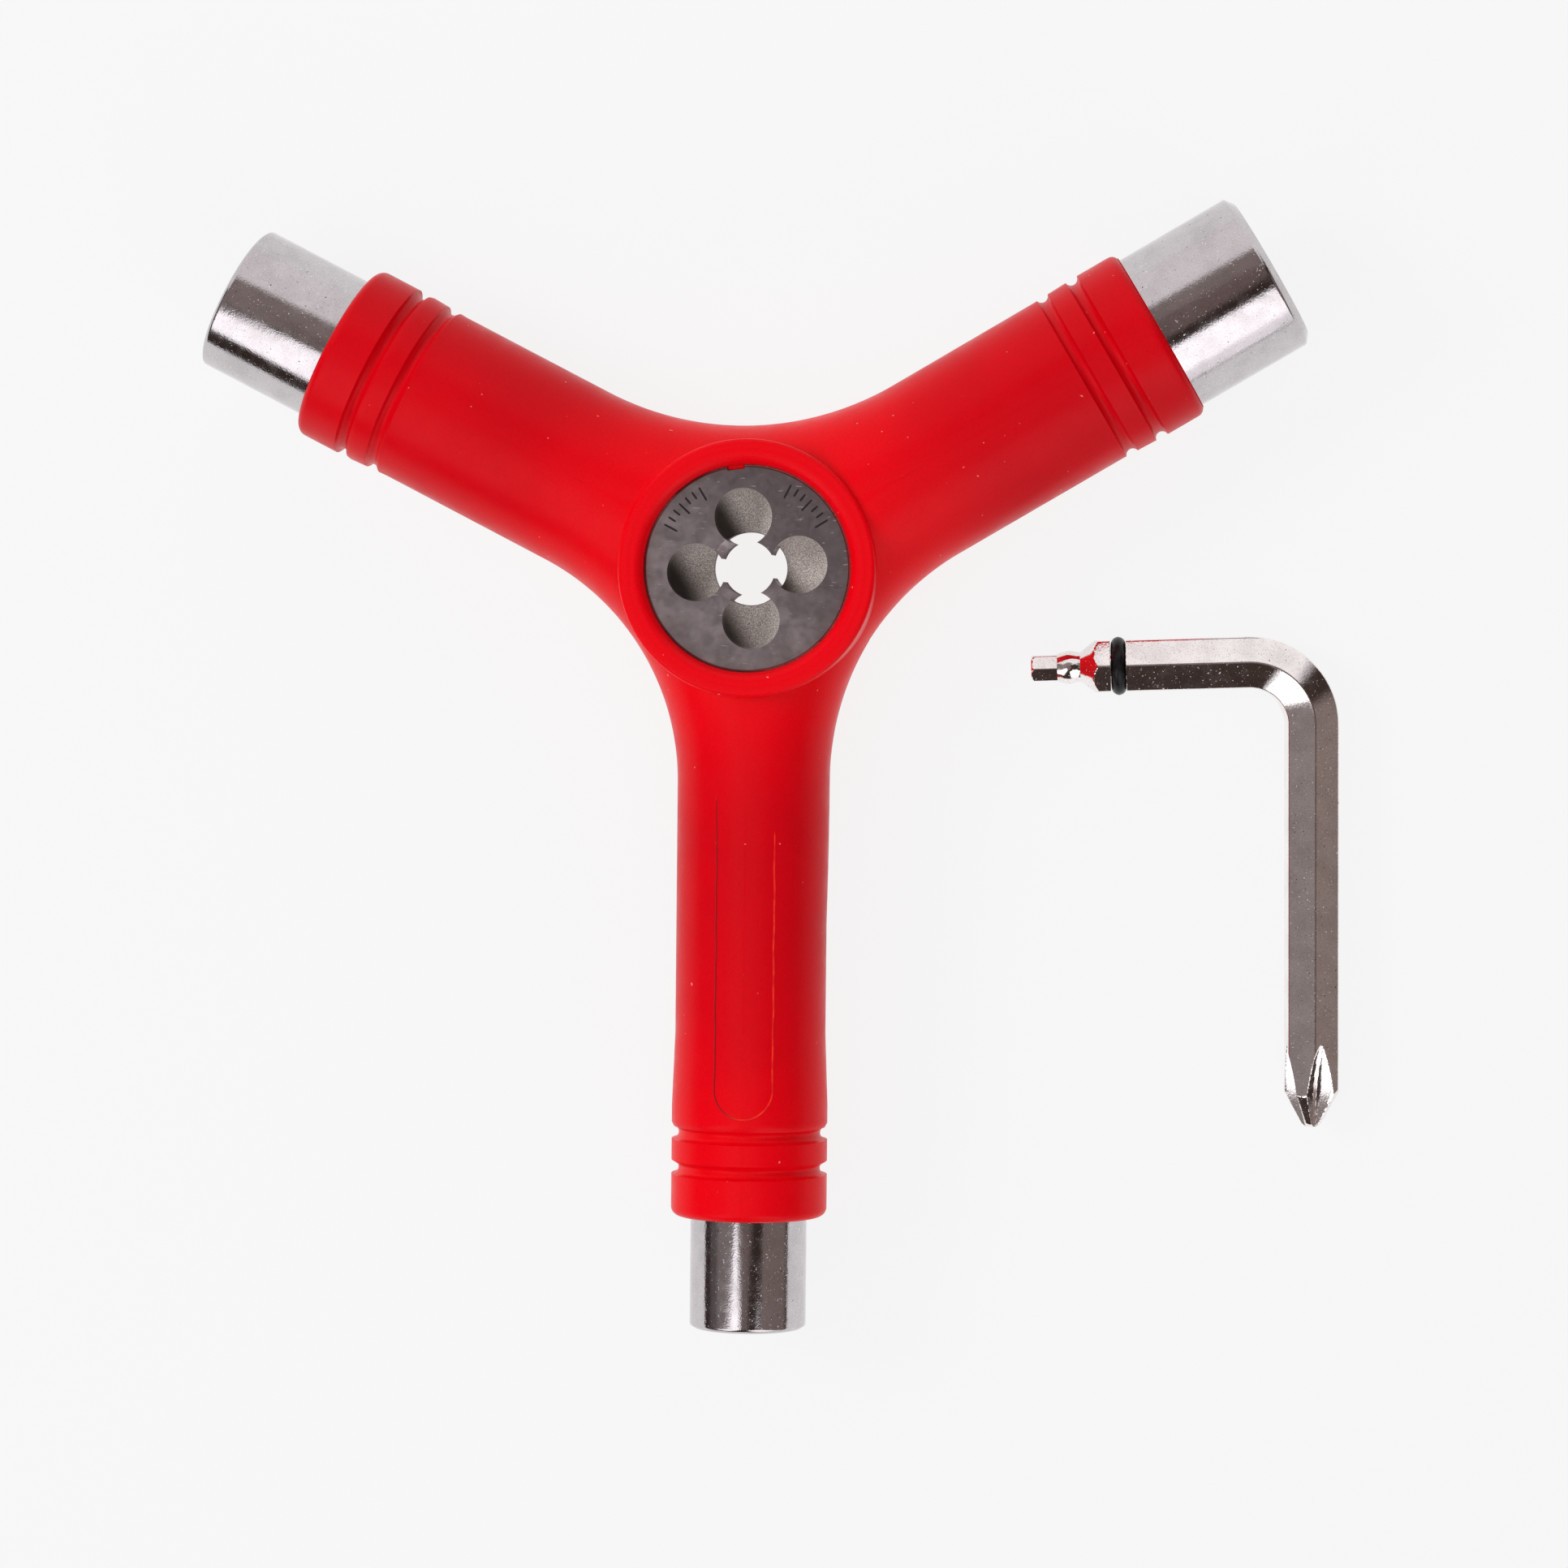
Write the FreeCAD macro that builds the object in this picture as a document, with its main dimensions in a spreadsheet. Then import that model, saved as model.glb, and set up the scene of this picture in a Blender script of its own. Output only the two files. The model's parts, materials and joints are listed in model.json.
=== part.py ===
import FreeCAD, Part
import math
import os
import Sketcher
from FreeCAD import Placement, Rotation, Vector

# Three-armed hand tool with a socket in each arm and a thread die in its hub,
# and the loose L-shaped key that is kept with it.
#
# Frame: origin on the hub's axis, halfway up the hub; +Z along the hub's axis,
# out of the die's face; the long arm points along -Y.  Millimetres.

DIMENSIONS = [
    ("overrun", 1.0, "how far a cutter runs past the face that it opens"),
    # hub of the handle
    ("hub_radius", 15.9, "outside radius of the raised hub ring"),
    ("hub_half", 12.0, "half of the hub's height"),
    ("hub_edge", 0.6, "rounding of the hub ring's outer edges"),
    ("rim_width", 1.75, "flat top of the ring, outside the rounded edge around the die"),
    ("back_bore", 8.5, "radius of the bore behind the die"),
    # arms
    ("left_angle", 152.9, "direction of the left arm, from +X"),
    ("right_angle", 30.65, "direction of the right arm, from +X"),
    ("lower_angle", -90.0, "direction of the long arm, from +X"),
    ("arm_radius", 11.1, "radius of the two upper arms"),
    ("left_flare", 11.42, "radius of the left arm's collar"),
    ("left_end", 59.1, "end of that collar, from the hub's axis"),
    ("left_groove_a", 48.5, "first ring groove of the left arm"),
    ("left_groove_b", 52.7, "second ring groove of the left arm"),
    ("right_flare", 11.3, "radius of the right arm's collar"),
    ("right_end", 58.3, "end of that collar, from the hub's axis"),
    ("right_groove_a", 47.8, "first ring groove of the right arm"),
    ("right_groove_b", 52.0, "second ring groove of the right arm"),
    ("upper_round_from", 27.5, "where the upper arms become round"),
    ("upper_flare_from", 46.6, "where the upper arms start to widen"),
    ("upper_flare_to", 52.6, "where they reach the collar's radius"),
    ("lower_radius", 9.4, "radius of the long arm"),
    ("lower_flare", 9.75, "radius of its collar"),
    ("lower_end", 80.85, "end of that collar, from the hub's axis"),
    ("lower_groove_a", 70.4, "first ring groove of the long arm"),
    ("lower_groove_b", 74.8, "second ring groove of the long arm"),
    ("lower_round_from", 44.0, "where the long arm becomes round"),
    ("lower_flare_from", 58.0, "where the long arm starts to widen"),
    ("lower_flare_to", 67.0, "where it reaches the collar's radius"),
    ("lower_draft", 0.45, "extra width of the long arm's right side at the hub"),
    ("groove_section", 0.8, "radius of a ring groove's round section"),
    ("groove_rise", 0.25, "height of that section's centre above the arm"),
    ("collar_round", 1.1, "rounding of a collar's outer edge"),
    ("top_blend", 37.0, "plan radius between the two upper arms"),
    ("left_blend", 31.0, "plan radius between the left and the long arm"),
    ("right_blend", 33.0, "plan radius between the right and the long arm"),
    ("root_station", 7.5, "where each arm's blend starts, from the axis"),
    ("section_gap", 3.5, "distance between the sections of a blend"),
    ("rise_power", 4.0, "how late the long arm rises to the upper arms' height"),
    ("ellipse_margin", 0.001, "keeps a section's width above its height"),
    ("root_overlap", 2.0, "how far an arm's root runs past the hub's axis"),
    # sockets: radius and end of the part that shows, hex size, embedded shank
    ("large_radius", 10.3, "9/16 inch socket, outside radius"),
    ("large_end", 74.0, "its mouth, from the hub's axis"),
    ("large_start", 38.0, "its inner end"),
    ("large_shank", 9.3, "its shank inside the handle"),
    ("large_hex", 14.4, "its hexagon across flats"),
    ("large_depth", 16.0, "depth of its hexagon"),
    ("large_relief", 5.6, "radius of the bolt relief behind the hexagon"),
    ("large_chamfer", 0.9, "outer edge of its mouth"),
    ("medium_radius", 9.32, "1/2 inch socket, outside radius"),
    ("medium_end", 73.8, "its mouth, from the hub's axis"),
    ("medium_start", 38.0, "its inner end"),
    ("medium_shank", 8.4, "its shank inside the handle"),
    ("medium_hex", 12.8, "its hexagon across flats"),
    ("medium_depth", 16.0, "depth of its hexagon"),
    ("medium_relief", 4.7, "radius of the bolt relief behind the hexagon"),
    ("medium_chamfer", 0.38, "outer edge of its mouth"),
    ("small_radius", 7.28, "3/8 inch socket, outside radius"),
    ("small_end", 94.9, "its mouth, from the hub's axis"),
    ("small_start", 40.0, "its inner end"),
    ("small_shank", 6.8, "its shank inside the handle"),
    ("small_hex", 9.63, "its hexagon across flats"),
    ("small_depth", 12.0, "depth of its hexagon"),
    ("small_chamfer", 0.38, "outer edge of its mouth"),
    ("store_hex", 6.5, "hexagon behind it, where the key is kept"),
    ("store_end", 46.0, "inner end of that hexagon, from the hub's axis"),
    ("shoulder_in", 2.6, "length of full socket radius inside the collar"),
    ("relief_wall", 6.0, "steel left behind a relief bore"),
    ("shank_edge", 0.6, "bevel of a shank's inner end"),
    ("chamfer_share", 1.33, "width of a mouth's outer chamfer, by its length"),
    ("mouth_bevel", 0.7, "length of the lead-in bevel inside a socket's mouth"),
    ("bevel_share", 0.8, "part of that bevel's width that lies inside the hexagon's corners"),
    ("flat_depth", 0.9, "depth of the two flats that stop a shank turning"),
    ("flat_start", 4.0, "where those flats start, from the shank's inner end"),
    ("flat_length", 8.0, "length of those flats"),
    ("seat_gap", 0.05, "moulding gap around an embedded piece"),
    # die
    ("die_radius", 12.7, "outside radius of the die, one inch across"),
    ("die_top", 10.6, "height of the die's face"),
    ("die_bottom", 1.6, "height of the die's back"),
    ("die_edge", 0.25, "bevel of the die's edges"),
    ("thread_minor", 3.4, "minor radius of the 5/16-24 thread"),
    ("thread_major", 3.97, "major radius of that thread"),
    ("thread_pitch", 1.058, "its pitch, 24 to the inch"),
    ("thread_start", 0.15, "plain bore below the first turn"),
    ("crest_share", 0.45, "place of a turn's major diameter, by the pitch"),
    ("root_share", 0.9, "end of a turn, by the pitch"),
    ("lead_radius", 4.4, "radius of the lead-in at the face"),
    ("lead_depth", 0.75, "depth of the lead-in"),
    ("clearance_radius", 4.5, "how far the chip pockets are open right through"),
    ("back_radius", 4.9, "radius of the relief behind the thread"),
    ("back_height", 4.4, "height at which that relief ends"),
    ("pocket_radius", 3.55, "radius of a chip pocket"),
    ("pocket_pitch", 6.37, "distance of a chip pocket from the axis"),
    ("pocket_floor", 4.6, "height of a chip pocket's round floor"),
    ("floor_middle", 0.72, "place of a point halfway up that floor, by the pocket's radius"),
    ("floor_rise", 0.23, "height of that point above the floor, by the same radius"),
    ("floor_edge", 0.75, "height of the floor's edge, by the same radius"),
    ("pocket_angle", 4.75, "direction of the first chip pocket"),
    ("notch_width", 2.2, "width of the notch in the die's rim"),
    ("notch_depth", 0.5, "depth of that notch"),
    ("notch_angle", 97.0, "direction of that notch"),
    ("tab_top", 10.2, "height of the moulded tab that fills the notch"),
    ("tab_root", 0.4, "how far the tab reaches into the hub's wall"),
    # key
    ("key_flats", 6.35, "quarter-inch bar of the key, across flats"),
    ("key_long", 58.5, "long leg, from the legs' crossing to its tip"),
    ("key_short", 35.1, "short leg, from the legs' crossing to its tip"),
    ("key_corner", 88.5, "angle between the legs"),
    ("key_bend", 7.8, "bend radius of the bar's centre line"),
    ("key_x", 69.42, "crossing of the legs, beside the tool"),
    ("key_y", -10.7, "crossing of the legs, beside the tool"),
    ("key_turn", 0.72, "turn of the long leg from -Y"),
    ("cross_cone", 4.8, "length of the cross point's cone"),
    ("cross_blunt", 1.0, "radius of the cross point's blunt end"),
    ("cross_bevel", 0.2, "bevel of that end"),
    ("flute_root", 0.8, "least distance of a flute's root from the axis"),
    ("flute_wheel", 20.0, "radius of the wheel that cuts a flute"),
    ("flute_flat", 0.15, "half-width of that wheel's rim"),
    ("flute_angle", 22.0, "direction of the first flute, from up"),
    ("tip_flats", 3.175, "eighth-inch tip, across flats"),
    ("tip_length", 3.25, "length of that tip"),
    ("tip_root", 0.2, "how far that tip runs into the neck"),
    ("bead_radius", 2.08, "largest radius of the round neck"),
    ("bead_station", 4.8, "where the neck is largest, from the tip"),
    ("neck_radius", 1.85, "radius where the neck meets its cone"),
    ("neck_step", 0.12, "how much thinner the neck starts at the tip"),
    ("neck_station", 6.15, "that place, from the tip"),
    ("cone_station", 8.5, "where the cone reaches the bar's corners"),
    ("ring_station", 10.95, "centre of the rubber ring, from the tip"),
    ("ring_section", 0.93, "radius of the rubber ring's section"),
    ("ring_centre", 2.72, "radius of the ring's centre line"),
    ("ring_groove", 2.0, "width of the groove that holds it"),
    ("ring_gap", 0.02, "gap between the ring and that groove's floor"),
]

TURN_X = Rotation(Vector(0, 1, 0), Vector(0, 0, 1), Vector(1, 0, 0))

doc = FreeCAD.newDocument("y_tool")
sheet = doc.addObject("Spreadsheet::Sheet", "Sheet")
for row, (alias, value, note) in enumerate(DIMENSIONS, start=1):
    sheet.set("A%d" % row, note)
    sheet.set("B%d" % row, str(value))
    sheet.setAlias("B%d" % row, alias)
doc.recompute()


def size(name):
    """A driving dimension, read from the sheet."""
    return float(getattr(sheet, name))


def cell(text):
    """Turn $name into a reference to the sheet's cell of that name."""
    return text.replace("$", "Sheet.")


def number(text):
    """The present value of an expression written with $names."""
    result = sheet.evalExpression(text.replace("$", ""))
    return float(getattr(result, "Value", result))


def bind(thing, **expressions):
    """Bind properties of a document object to expressions."""
    for name, text in expressions.items():
        thing.setExpression(name, cell(text))


def add(kind, name, **expressions):
    """A new document object with its properties bound to the sheet."""
    thing = doc.addObject(kind, name)
    bind(thing, **expressions)
    return thing


def fuse(name, shapes):
    thing = doc.addObject("Part::MultiFuse", name)
    thing.Shapes = shapes
    thing.Refine = False
    return thing


def cut(name, base, tool):
    thing = doc.addObject("Part::Cut", name)
    thing.Base = base
    thing.Tool = tool
    thing.Refine = False
    return thing


# ---------------------------------------------------------------- sketches

def attach(sketch, body, role, offset=None):
    """Lay a sketch on one of its own body's origin planes."""
    plane = next(f for f in body.Origin.OriginFeatures if f.Role == role)
    sketch.AttachmentSupport = [(plane, "")]
    sketch.MapMode = "FlatFace"
    if offset is not None:
        sketch.AttachmentOffset = offset
    return sketch


def pin_point(sketch, geo, end, x, y):
    """Fix one end of a sketch element at two expressions."""
    for kind, text, axis in (("DistanceX", x, -2), ("DistanceY", y, -1)):
        if text == "0":
            sketch.addConstraint(Sketcher.Constraint("PointOnObject", geo, end, axis))
            continue
        place = number(text)
        index = sketch.addConstraint(Sketcher.Constraint(kind, -1, 1, geo, end, place))
        sketch.setExpression("Constraints[%d]" % index, cell(text))


def outline(sketch, corners):
    """Closed outline of straight sides; corners are pairs of expressions.

    A third item in a corner's tuple is the through point of an arc that
    runs from that corner to the next.
    """
    places = [Vector(number(c[0]), number(c[1]), 0) for c in corners]
    total = len(corners)
    ends = []
    for index, corner in enumerate(corners):
        start = places[index]
        stop = places[(index + 1) % total]
        if len(corner) == 2:
            geo = sketch.addGeometry(Part.LineSegment(start, stop))
            ends.append((geo, 1, 2))
            continue
        through = Vector(number(corner[2][0]), number(corner[2][1]), 0)
        leftwards = (through - start).cross(stop - through).z > 0
        arc = Part.Arc(start, through, stop) if leftwards else Part.Arc(stop, through, start)
        geo = sketch.addGeometry(arc)
        ends.append((geo, 1, 2) if leftwards else (geo, 2, 1))
        bulge = sketch.Geometry[geo].Radius
        sketch.addConstraint(Sketcher.Constraint("Radius", geo, bulge))
    for index in range(total):
        geo, first, last = ends[index]
        after, begin, _ = ends[(index + 1) % total]
        sketch.addConstraint(Sketcher.Constraint("Coincident", geo, last, after, begin))
    for index, corner in enumerate(corners):
        geo, first, _ = ends[index]
        pin_point(sketch, geo, first, corner[0], corner[1])
    return sketch


def hexagon(sketch, across_flats, first_corner):
    """Regular hexagon about the sketch's origin, one corner at first_corner degrees."""
    reach = "%s / 2 / cos(30)" % across_flats
    corners = []
    for step in range(6):
        angle = first_corner + 60 * step
        corners.append(("(%s) * cos(%s)" % (reach, angle), "(%s) * sin(%s)" % (reach, angle)))
    return outline(sketch, [tidy_corner(c) for c in corners])


def tidy_corner(corner):
    """Write a coordinate that is zero as a plain 0, so that it lies on its axis."""
    return tuple("0" if abs(number(text)) < 1e-6 else text for text in corner)


def circle(sketch, radius, x="0", y="0"):
    """Circle with its radius and centre bound to the sheet."""
    centre = Vector(number(x), number(y), 0)
    geo = sketch.addGeometry(Part.Circle(centre, Vector(0, 0, 1), number(radius)))
    pin_point(sketch, geo, 3, x, y)
    index = sketch.addConstraint(Sketcher.Constraint("Radius", geo, number(radius)))
    sketch.setExpression("Constraints[%d]" % index, cell(radius))
    return sketch


def new_sketch(body, name, role, offset=None):
    sketch = body.newObject("Sketcher::SketchObject", name)
    return attach(sketch, body, role, offset)


def revolve(body, kind, sketch, axis):
    """Revolution or Groove of a sketch about one of its own axes."""
    feature = body.newObject("PartDesign::" + kind, sketch.Name + "_turned")
    feature.Profile = sketch
    feature.ReferenceAxis = (sketch, [axis])
    feature.Angle = 360
    body.Tip = feature
    return feature


volumes = {}


def checked(body, feature, smaller):
    """Recompute and make sure that a feature added or removed material."""
    before = volumes.get(body.Name, 0.0)
    doc.recompute()
    after = feature.Shape.Volume
    volumes[body.Name] = after
    if smaller == (after >= before - 1e-6):
        raise RuntimeError("%s changed %s the wrong way" % (feature.Name, body.Name))
    return feature


# ------------------------------------------------------------------ handle

def blend_geometry(radius_a, radius_b, blend, angle_a, angle_b):
    """Where a plan blend touches each of two arms, and where its valley lies.

    The blend's centre is radius + blend away from each arm's axis, on the
    side where the two arms face each other.  For each arm the result holds
    the tangent point's distance from the hub's axis and the angle between
    that arm and the line from the hub's axis to the blend's centre.
    """
    away_a = size(radius_a) + size(blend)
    away_b = size(radius_b) + size(blend)
    between = math.radians((size(angle_b) - size(angle_a)) % 360)
    squares = away_a ** 2 + away_b ** 2 + 2 * away_a * away_b * math.cos(between)
    reach = math.sqrt(squares) / math.sin(between)
    return [(math.sqrt(reach ** 2 - away ** 2), math.degrees(math.asin(away / reach)))
            for away in (away_a, away_b)]


def half_width(radius, blend, tangent, station):
    """Half-width of an arm at a station, on the side of one blend."""
    return "{r} + {b} - sqrt({b} ^ 2 - ({t:.4f} - {s}) ^ 2)".format(
        r=radius, b=blend, t=max(tangent, station), s=station)


def arm_root(name, radius, round_from, sides, draft):
    """Blend of an arm into the hub: a loft of ellipses along +X.

    sides holds, for the arm's left and right, the blend's cell and its
    geometry.  The half-height grows from the arm's own radius to that of the
    upper arms.  draft is the extra width that the left side gains.
    """
    start = size("root_station")
    finish = number(round_from)
    steps = int((finish - start) / size("section_gap"))
    sections = []
    for step in range(steps):
        station = start + (finish - start) * step / steps
        left, right = [half_width(radius, blend, tangent, station) for blend, (tangent, _) in sides]
        share = (finish - station) / (finish - start)
        widened = "(%s) + %s * %.4f" % (left, draft, share * (1 - share) * 2)
        ellipse = add("Part::Ellipse", "%s_section_%d" % (name, step))
        rise = share ** size("rise_power")
        bind(ellipse, MinorRadius="%s + ($arm_radius - %s) * %.4f" % (radius, radius, rise))
        bind(ellipse, MajorRadius="(%s + %s) / 2 + $ellipse_margin" % (widened, right))
        aside = (number(widened) - number(right)) / 2
        ellipse.Placement = Placement(Vector(station, aside, 0), TURN_X)
        sections.append(ellipse)
    last = add("Part::Circle", name + "_section_end", Radius=radius)
    last.Placement = Placement(Vector(finish, 0, 0), TURN_X)
    loft = doc.addObject("Part::Loft", name + "_blend")
    loft.Sections = sections + [last]
    loft.Solid = True
    root = doc.addObject("Part::Extrusion", name + "_root")
    root.Base = sections[0]
    root.DirMode = "Custom"
    root.Dir = Vector(-1, 0, 0)
    root.Solid = True
    bind(root, LengthFwd="$root_station + $root_overlap")
    return [loft, root]


def arm_shaft(name, side, radius, row):
    """Round part of an arm along +X, with its flared collar's rounded end."""
    sketch = doc.addObject("Sketcher::SketchObject", name + "_profile")
    flare = "$%s_flare" % side
    end = "$%s_end" % side
    middle = "$collar_round * (1 - sin(45))"
    outline(sketch, [
        ("$%s_round_from" % row, "0"),
        ("$%s_round_from" % row, radius),
        ("$%s_flare_from" % row, radius),
        ("$%s_flare_to" % row, flare),
        ("%s - $collar_round" % end, flare,
         ("%s - %s" % (end, middle), "%s - %s" % (flare, middle))),
        (end, "%s - $collar_round" % flare),
        (end, "0"),
    ])
    shaft = doc.addObject("Part::Revolution", name + "_shaft")
    shaft.Source = sketch
    shaft.Axis = Vector(1, 0, 0)
    shaft.Angle = 360
    shaft.Solid = True
    return shaft


def arm_sector(name, sides):
    """Prism over the sector between the valleys on an arm's two sides."""
    reach = "$lower_end"
    left, right = [angle for _, (_, angle) in sides]
    corners = [("0", "0")]
    corners.append(("%s * cos(%.4f)" % (reach, right), "-%s * sin(%.4f)" % (reach, right)))
    corners.append(("2 * " + reach, "-%s * sin(%.4f)" % (reach, right)))
    corners.append(("2 * " + reach, "%s * sin(%.4f)" % (reach, left)))
    corners.append(("%s * cos(%.4f)" % (reach, left), "%s * sin(%.4f)" % (reach, left)))
    sketch = doc.addObject("Sketcher::SketchObject", name + "_outline")
    outline(sketch, corners)
    sector = doc.addObject("Part::Extrusion", name)
    sector.Base = sketch
    sector.DirMode = "Custom"
    sector.Dir = Vector(0, 0, 1)
    sector.Symmetric = True
    sector.Solid = True
    bind(sector, LengthFwd="4 * $hub_half")
    return sector


def ring_groove(name, radius, station):
    """Cutter for a ring groove with a round section."""
    ring = add("Part::Torus", name, Radius1=radius + " + $groove_rise", Radius2="$groove_section")
    ring.Placement = Placement(Vector(number(station), 0, 0), TURN_X)
    return ring


def handle_arm(side, radius, row, sides, draft="0"):
    """One whole arm with its grooves, turned to its own direction."""
    name = side + "_arm"
    blend = arm_root(name, radius, "$%s_round_from" % row, sides, draft)
    solid = fuse(name + "_solid", blend + [arm_shaft(name, side, radius, row)])
    rings = [ring_groove("%s_ring_%s" % (name, letter), radius, "$%s_groove_%s" % (side, letter))
             for letter in ("a", "b")]
    grooved = cut(name + "_grooved", solid, fuse(name + "_rings", rings))
    arm = doc.addObject("Part::Common", name)
    arm.Base = grooved
    arm.Tool = arm_sector(name + "_sector", sides)
    arm.Placement = Placement(Vector(), Rotation(Vector(0, 0, 1), size(side + "_angle")))
    return arm


def turned_solid(name, corners):
    """Solid of revolution about +Z from a profile of radius and height."""
    sketch = doc.addObject("Sketcher::SketchObject", name + "_profile")
    outline(sketch, corners)
    sketch.Placement = Placement(Vector(), Rotation(Vector(1, 0, 0), 90))
    solid = doc.addObject("Part::Revolution", name)
    solid.Source = sketch
    solid.Axis = Vector(0, 0, 1)
    solid.Angle = 360
    solid.Solid = True
    return solid


def hub_boss():
    """Raised round hub with rounded outer edges."""
    middle = "$hub_edge * (1 - sin(45))"
    return turned_solid("hub_boss", [
        ("0", "-$hub_half"),
        ("$hub_radius - $hub_edge", "-$hub_half",
         ("$hub_radius - " + middle, "-$hub_half + " + middle)),
        ("$hub_radius", "-$hub_half + $hub_edge"),
        ("$hub_radius", "$hub_half - $hub_edge",
         ("$hub_radius - " + middle, "$hub_half - " + middle)),
        ("$hub_radius - $hub_edge", "$hub_half"),
        ("0", "$hub_half"),
    ])


def hub_hollow():
    """Cutter for the rounded rim, the die's seat and the bore behind it."""
    return turned_solid("hub_hollow", [
        ("0", "-$hub_half - $overrun"),
        ("$back_bore", "-$hub_half - $overrun"),
        ("$back_bore", "$die_bottom"),
        ("$die_radius + $seat_gap", "$die_bottom"),
        ("$die_radius + $seat_gap", "$die_top",
         ("$hub_radius - $rim_width - ($hub_half - $die_top) * cos(45)",
          "$die_top + ($hub_half - $die_top) * sin(45)")),
        ("$hub_radius - $rim_width", "$hub_half"),
        ("$hub_radius - $rim_width", "$hub_half + $overrun"),
        ("0", "$hub_half + $overrun"),
    ])


def notch_block(name, height_from, height_to, width, depth):
    """Block at the rim of the die's seat, where its notch is."""
    block = add("Part::Box", name, Height="%s - (%s)" % (height_to, height_from))
    bind(block, Length=depth + " + $tab_root", Width=width)
    reach = number("$die_radius + $seat_gap") - number(depth)
    turn = Rotation(Vector(0, 0, 1), size("notch_angle"))
    corner = turn.multVec(Vector(reach, -number(width) / 2, 0))
    block.Placement = Placement(corner + Vector(0, 0, number(height_from)), turn)
    return block


def socket_seat(side, prefix):
    """Cutter for the space that a socket fills inside its arm."""
    name = side + "_seat"
    sketch = doc.addObject("Sketcher::SketchObject", name + "_profile")
    full = "$%s_radius + $seat_gap" % prefix
    shank = "$%s_shank + $seat_gap" % prefix
    collar = "$%s_end" % side
    outline(sketch, [
        ("$%s_start - $seat_gap" % prefix, "0"),
        ("$%s_start - $seat_gap" % prefix, shank),
        (collar + " - $shoulder_in - $seat_gap", shank),
        (collar + " - $shoulder_in - $seat_gap", full),
        ("$%s_end" % prefix, full),
        ("$%s_end" % prefix, "0"),
    ])
    round_seat = doc.addObject("Part::Revolution", name + "_round")
    round_seat.Source = sketch
    round_seat.Axis = Vector(1, 0, 0)
    round_seat.Angle = 360
    round_seat.Solid = True
    keys = []
    for up in (-1, 1):
        key = add("Part::Box", "%s_key_%d" % (name, up + 1), Width="4 * $arm_radius")
        bind(key, Length="$flat_length - 2 * $seat_gap", Height="$arm_radius")
        low = number("$%s_shank - $flat_depth + $seat_gap" % prefix)
        base = low if up > 0 else -low - size("arm_radius")
        start = number("$%s_start + $flat_start + $seat_gap" % prefix)
        key.Placement = Placement(Vector(start, -2 * size("arm_radius"), base), Rotation())
        keys.append(key)
    seat = cut(name, round_seat, fuse(name + "_keys", keys))
    seat.Placement = Placement(Vector(), Rotation(Vector(0, 0, 1), size(side + "_angle")))
    return seat


def make_handle():
    top = blend_geometry("arm_radius", "arm_radius", "top_blend", "right_angle", "left_angle")
    left = blend_geometry("arm_radius", "lower_radius", "left_blend", "left_angle", "lower_angle")
    right = blend_geometry("lower_radius", "arm_radius", "right_blend", "lower_angle", "right_angle")
    arms = [
        handle_arm("left", "$arm_radius", "upper",
                   [("$left_blend", left[0]), ("$top_blend", top[1])]),
        handle_arm("right", "$arm_radius", "upper",
                   [("$top_blend", top[0]), ("$right_blend", right[1])]),
        handle_arm("lower", "$lower_radius", "lower",
                   [("$right_blend", right[0]), ("$left_blend", left[1])], "$lower_draft"),
    ]
    body = hub_boss()
    for arm in arms:
        joined = doc.addObject("Part::Fuse", "hub_with_" + arm.Name)
        joined.Base = body
        joined.Tool = arm
        joined.Refine = False
        body = joined
    hollow = cut("hub_space", hub_hollow(),
                 notch_block("die_tab", "$die_bottom - $overrun", "$tab_top",
                             "$notch_width - 2 * $seat_gap", "$notch_depth - $seat_gap"))
    hollows = fuse("handle_hollows", [
        hollow,
        socket_seat("left", "medium"),
        socket_seat("right", "large"),
        socket_seat("lower", "small"),
    ])
    handle = cut("y_handle", body, hollows)
    handle.Label = "y_handle"
    return handle


# ----------------------------------------------------------------- sockets

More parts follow.
